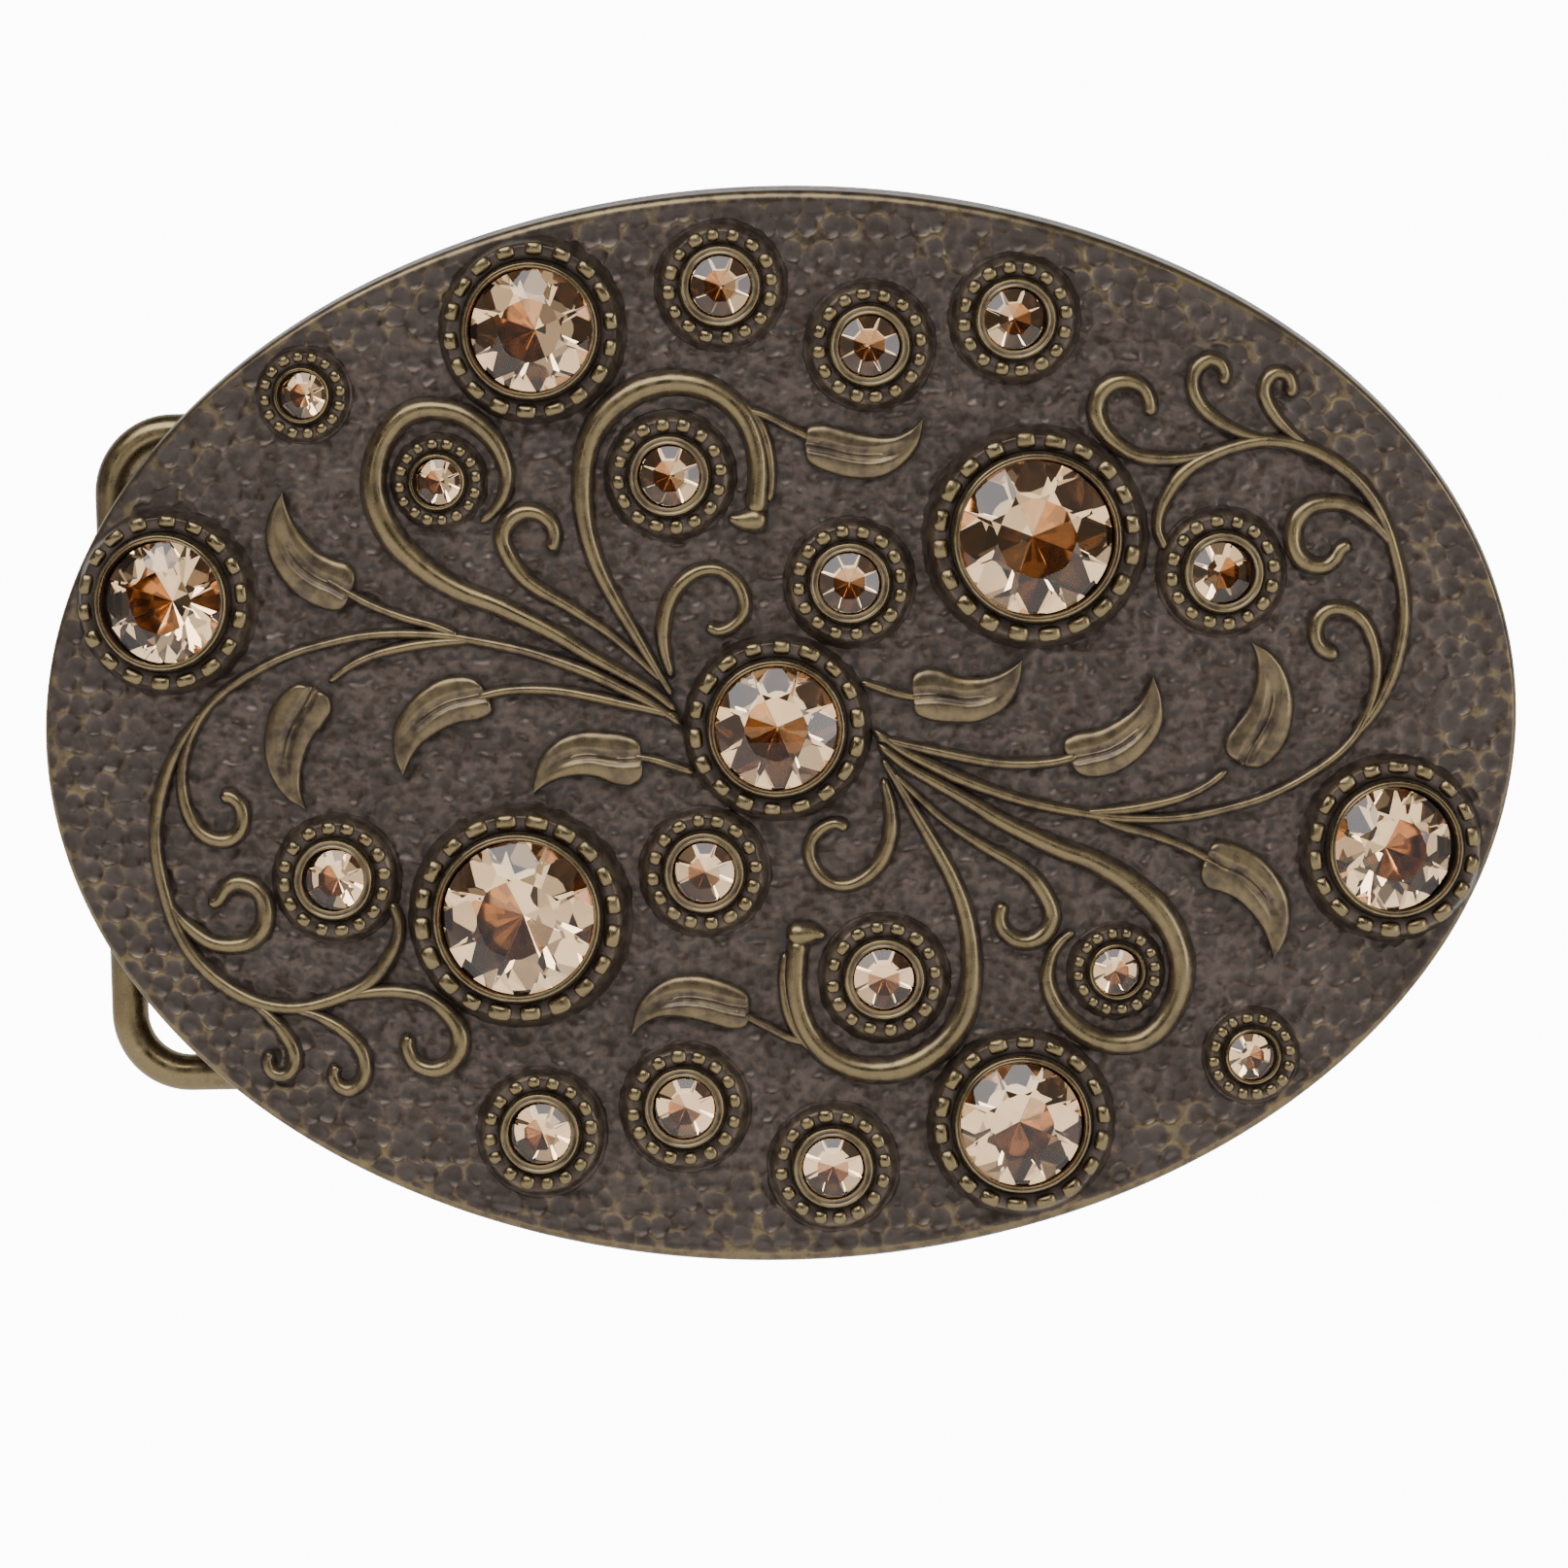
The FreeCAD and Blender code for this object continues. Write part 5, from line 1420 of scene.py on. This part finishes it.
def add_camera():
    """Sets the camera square to the face, a little above and to the right."""
    data = bpy.data.cameras.new("camera")
    data.sensor_width = 36.0
    data.lens = data.sensor_width * CAMERA_AWAY / VIEW_WIDTH
    data.clip_end = 10.0
    camera = bpy.data.objects.new("camera", data)
    bpy.context.scene.collection.objects.link(camera)
    back = Vector((
        math.sin(CAMERA_TURN) * math.cos(CAMERA_RISE),
        -math.cos(CAMERA_TURN) * math.cos(CAMERA_RISE),
        math.sin(CAMERA_RISE),
    ))
    aim = Vector((0.0003, -0.002, -AIM_DROP))
    look = back.to_track_quat("Z", "Y").to_matrix().to_4x4()
    roll = Matrix.Rotation(-CAMERA_ROLL, 4, "Z")
    camera.matrix_world = Matrix.Translation(aim + back * CAMERA_AWAY) @ look @ roll
    bpy.context.scene.camera = camera


# Small lamps near the camera that wake the facets: degrees off the view, degrees round it, size.
SPARKLE_POWER = 0.09
SPARKLE_AWAY = 0.62
SPARKLES = (
    ("sparkle_top", 30, 82, 0.10, 0.05),
    ("sparkle_left", 34, 165, 0.04, 0.13),
    ("sparkle_low_left", 29, 228, 0.09, 0.06),
    ("sparkle_low_right", 36, 305, 0.12, 0.05),
    ("sparkle_right", 31, 12, 0.05, 0.11),
    ("sparkle_high_right", 44, 48, 0.08, 0.08),
)


def add_softbox(name, place, target, width, height, power, tint=(1, 1, 1)):
    """A soft rectangular light that looks at its target."""
    data = bpy.data.lights.new(name, "AREA")
    data.shape = "RECTANGLE"
    data.size, data.size_y = width, height
    data.energy = power
    data.color = tint
    light = bpy.data.objects.new(name, data)
    bpy.context.scene.collection.objects.link(light)
    look = (Vector(place) - Vector(target)).to_track_quat("Z", "Y").to_matrix().to_4x4()
    light.matrix_world = Matrix.Translation(place) @ look


def patched_room():
    """A dim room hung with pale and dark cards, so that facets and edges have something to mirror."""
    world = bpy.data.worlds.new("patched_room")
    world.use_nodes = True
    tree = world.node_tree
    way = add_node(tree, "ShaderNodeTexCoord").outputs["Generated"]
    cards = add_node(tree, "ShaderNodeTexVoronoi", {"Vector": way, "Scale": 4.6, "Randomness": 1.0})
    level = add_node(tree, "ShaderNodeSeparateColor", {"Color": cards.outputs["Color"]}).outputs[0]
    bright = ramp(tree, level, 0.35, 1.0, 0.14, 1.0)
    cool = blend(tree, bright, (0.50, 0.50, 0.56), (1.0, 0.98, 0.95))
    background = tree.nodes["Background"]
    seen = add_node(tree, "ShaderNodeLightPath").outputs["Is Camera Ray"]
    tree.links.new(blend(tree, seen, cool, (1.0, 1.0, 1.0)), background.inputs["Color"])
    glow = add_node(tree, "ShaderNodeMapRange", {"Value": seen, "To Min": 0.0, "To Max": STAGE_GLOW})
    lit = sum_up(tree, "MULTIPLY", bright, ROOM_LIGHT)
    tree.links.new(sum_up(tree, "ADD", lit, glow.outputs[0]), background.inputs["Strength"])
    return world


ROOM_LIGHT = 0.55


class BUCKLE_OT_stage(bpy.types.Operator):
    """Sets the pale floor, the soft lights and the camera"""

    bl_idname = "buckle.stage"
    bl_label = "Stage"

    def execute(self, context):
        add_camera()
        floor_level = CAD_BOX[0][2] - 0.045
        # Far enough back that a camera circling the buckle stays inside it.
        sweep = [(-1.4, floor_level), (0.60, floor_level), (0.90, floor_level + 0.05),
                 (1.06, floor_level + 0.22), (1.10, floor_level + 0.55), (1.10, floor_level + 1.8)]
        path = rounded(sweep, 8)
        shape = Shape()
        points = [(x, y, z) for y, z in path for x in (-2.1, 2.1)]
        mesh = bpy.data.meshes.new("stage_sweep")
        mesh.from_pydata(points, [], grid_faces(len(path), 2))
        mesh.shade_smooth()
        mesh.materials.append(stage_material())
        floor = bpy.data.objects.new("stage_sweep", mesh)
        context.scene.collection.objects.link(floor)
        target = (0, 0, 0)
        add_softbox("key_softbox", (-0.22, -0.50, 0.62), target, 0.85, 0.44, 6.8, (0.95, 0.97, 1.0))
        add_softbox("side_softbox", (0.70, -0.40, 0.10), target, 0.25, 0.55, 2.2, (0.95, 0.97, 1.0))
        add_softbox("low_card", (-0.55, -0.45, -0.25), target, 0.45, 0.30, 1.3, (1.0, 0.98, 0.96))
        for name, away, around, width, height in SPARKLES:
            tilt, turn = math.radians(away), math.radians(around)
            aside = math.sin(tilt)
            place = Vector((aside * math.cos(turn), -math.cos(tilt), aside * math.sin(turn)))
            add_softbox(name, tuple(place * SPARKLE_AWAY), target, width, height, SPARKLE_POWER)
        context.scene.world = patched_room()
        return {"FINISHED"}


class BUCKLE_PT_panel(bpy.types.Panel):
    """Lists the buckle's sizes and makers"""

    bl_label = "Dress buckle"
    bl_idname = "BUCKLE_PT_panel"
    bl_space_type = "VIEW_3D"
    bl_region_type = "UI"
    bl_category = "Buckle"

    def draw(self, context):
        for group in (plate_sizes(), ornament_sizes(), fitting_sizes(), finish()):
            box = self.layout.box()
            for name in group.__annotations__:
                box.prop(group, name)
        for operator in MAKERS:
            self.layout.operator(operator.bl_idname)


# Scene properties, each with its group of sizes.
GROUPS = {
    "buckle_plate": BucklePlateSizes,
    "buckle_ornament": BuckleOrnamentSizes,
    "buckle_fitting": BuckleFittingSizes,
    "buckle_finish": BuckleFinish,
}
MAKERS = (
    BUCKLE_OT_stage,
    BUCKLE_OT_plate,
    BUCKLE_OT_scrolls,
    BUCKLE_OT_settings,
    BUCKLE_OT_stones,
    BUCKLE_OT_fittings,
)


def register():
    """Adds the sizes, makers and panel."""
    for name, group in GROUPS.items():
        bpy.utils.register_class(group)
        setattr(bpy.types.Scene, name, PointerProperty(type=group))
    for maker in (*MAKERS, BUCKLE_PT_panel):
        bpy.utils.register_class(maker)


def unregister():
    """Takes the sizes, makers and panel away again."""
    for maker in (BUCKLE_PT_panel, *reversed(MAKERS)):
        bpy.utils.unregister_class(maker)
    for name, group in GROUPS.items():
        delattr(bpy.types.Scene, name)
        bpy.utils.unregister_class(group)


def main():
    """Builds the whole buckle."""
    register()
    bpy.ops.buckle.stage()
    bpy.ops.buckle.plate()
    bpy.ops.buckle.scrolls()
    bpy.ops.buckle.settings()
    bpy.ops.buckle.stones()
    bpy.ops.buckle.fittings()


if __name__ == "__main__":
    main()
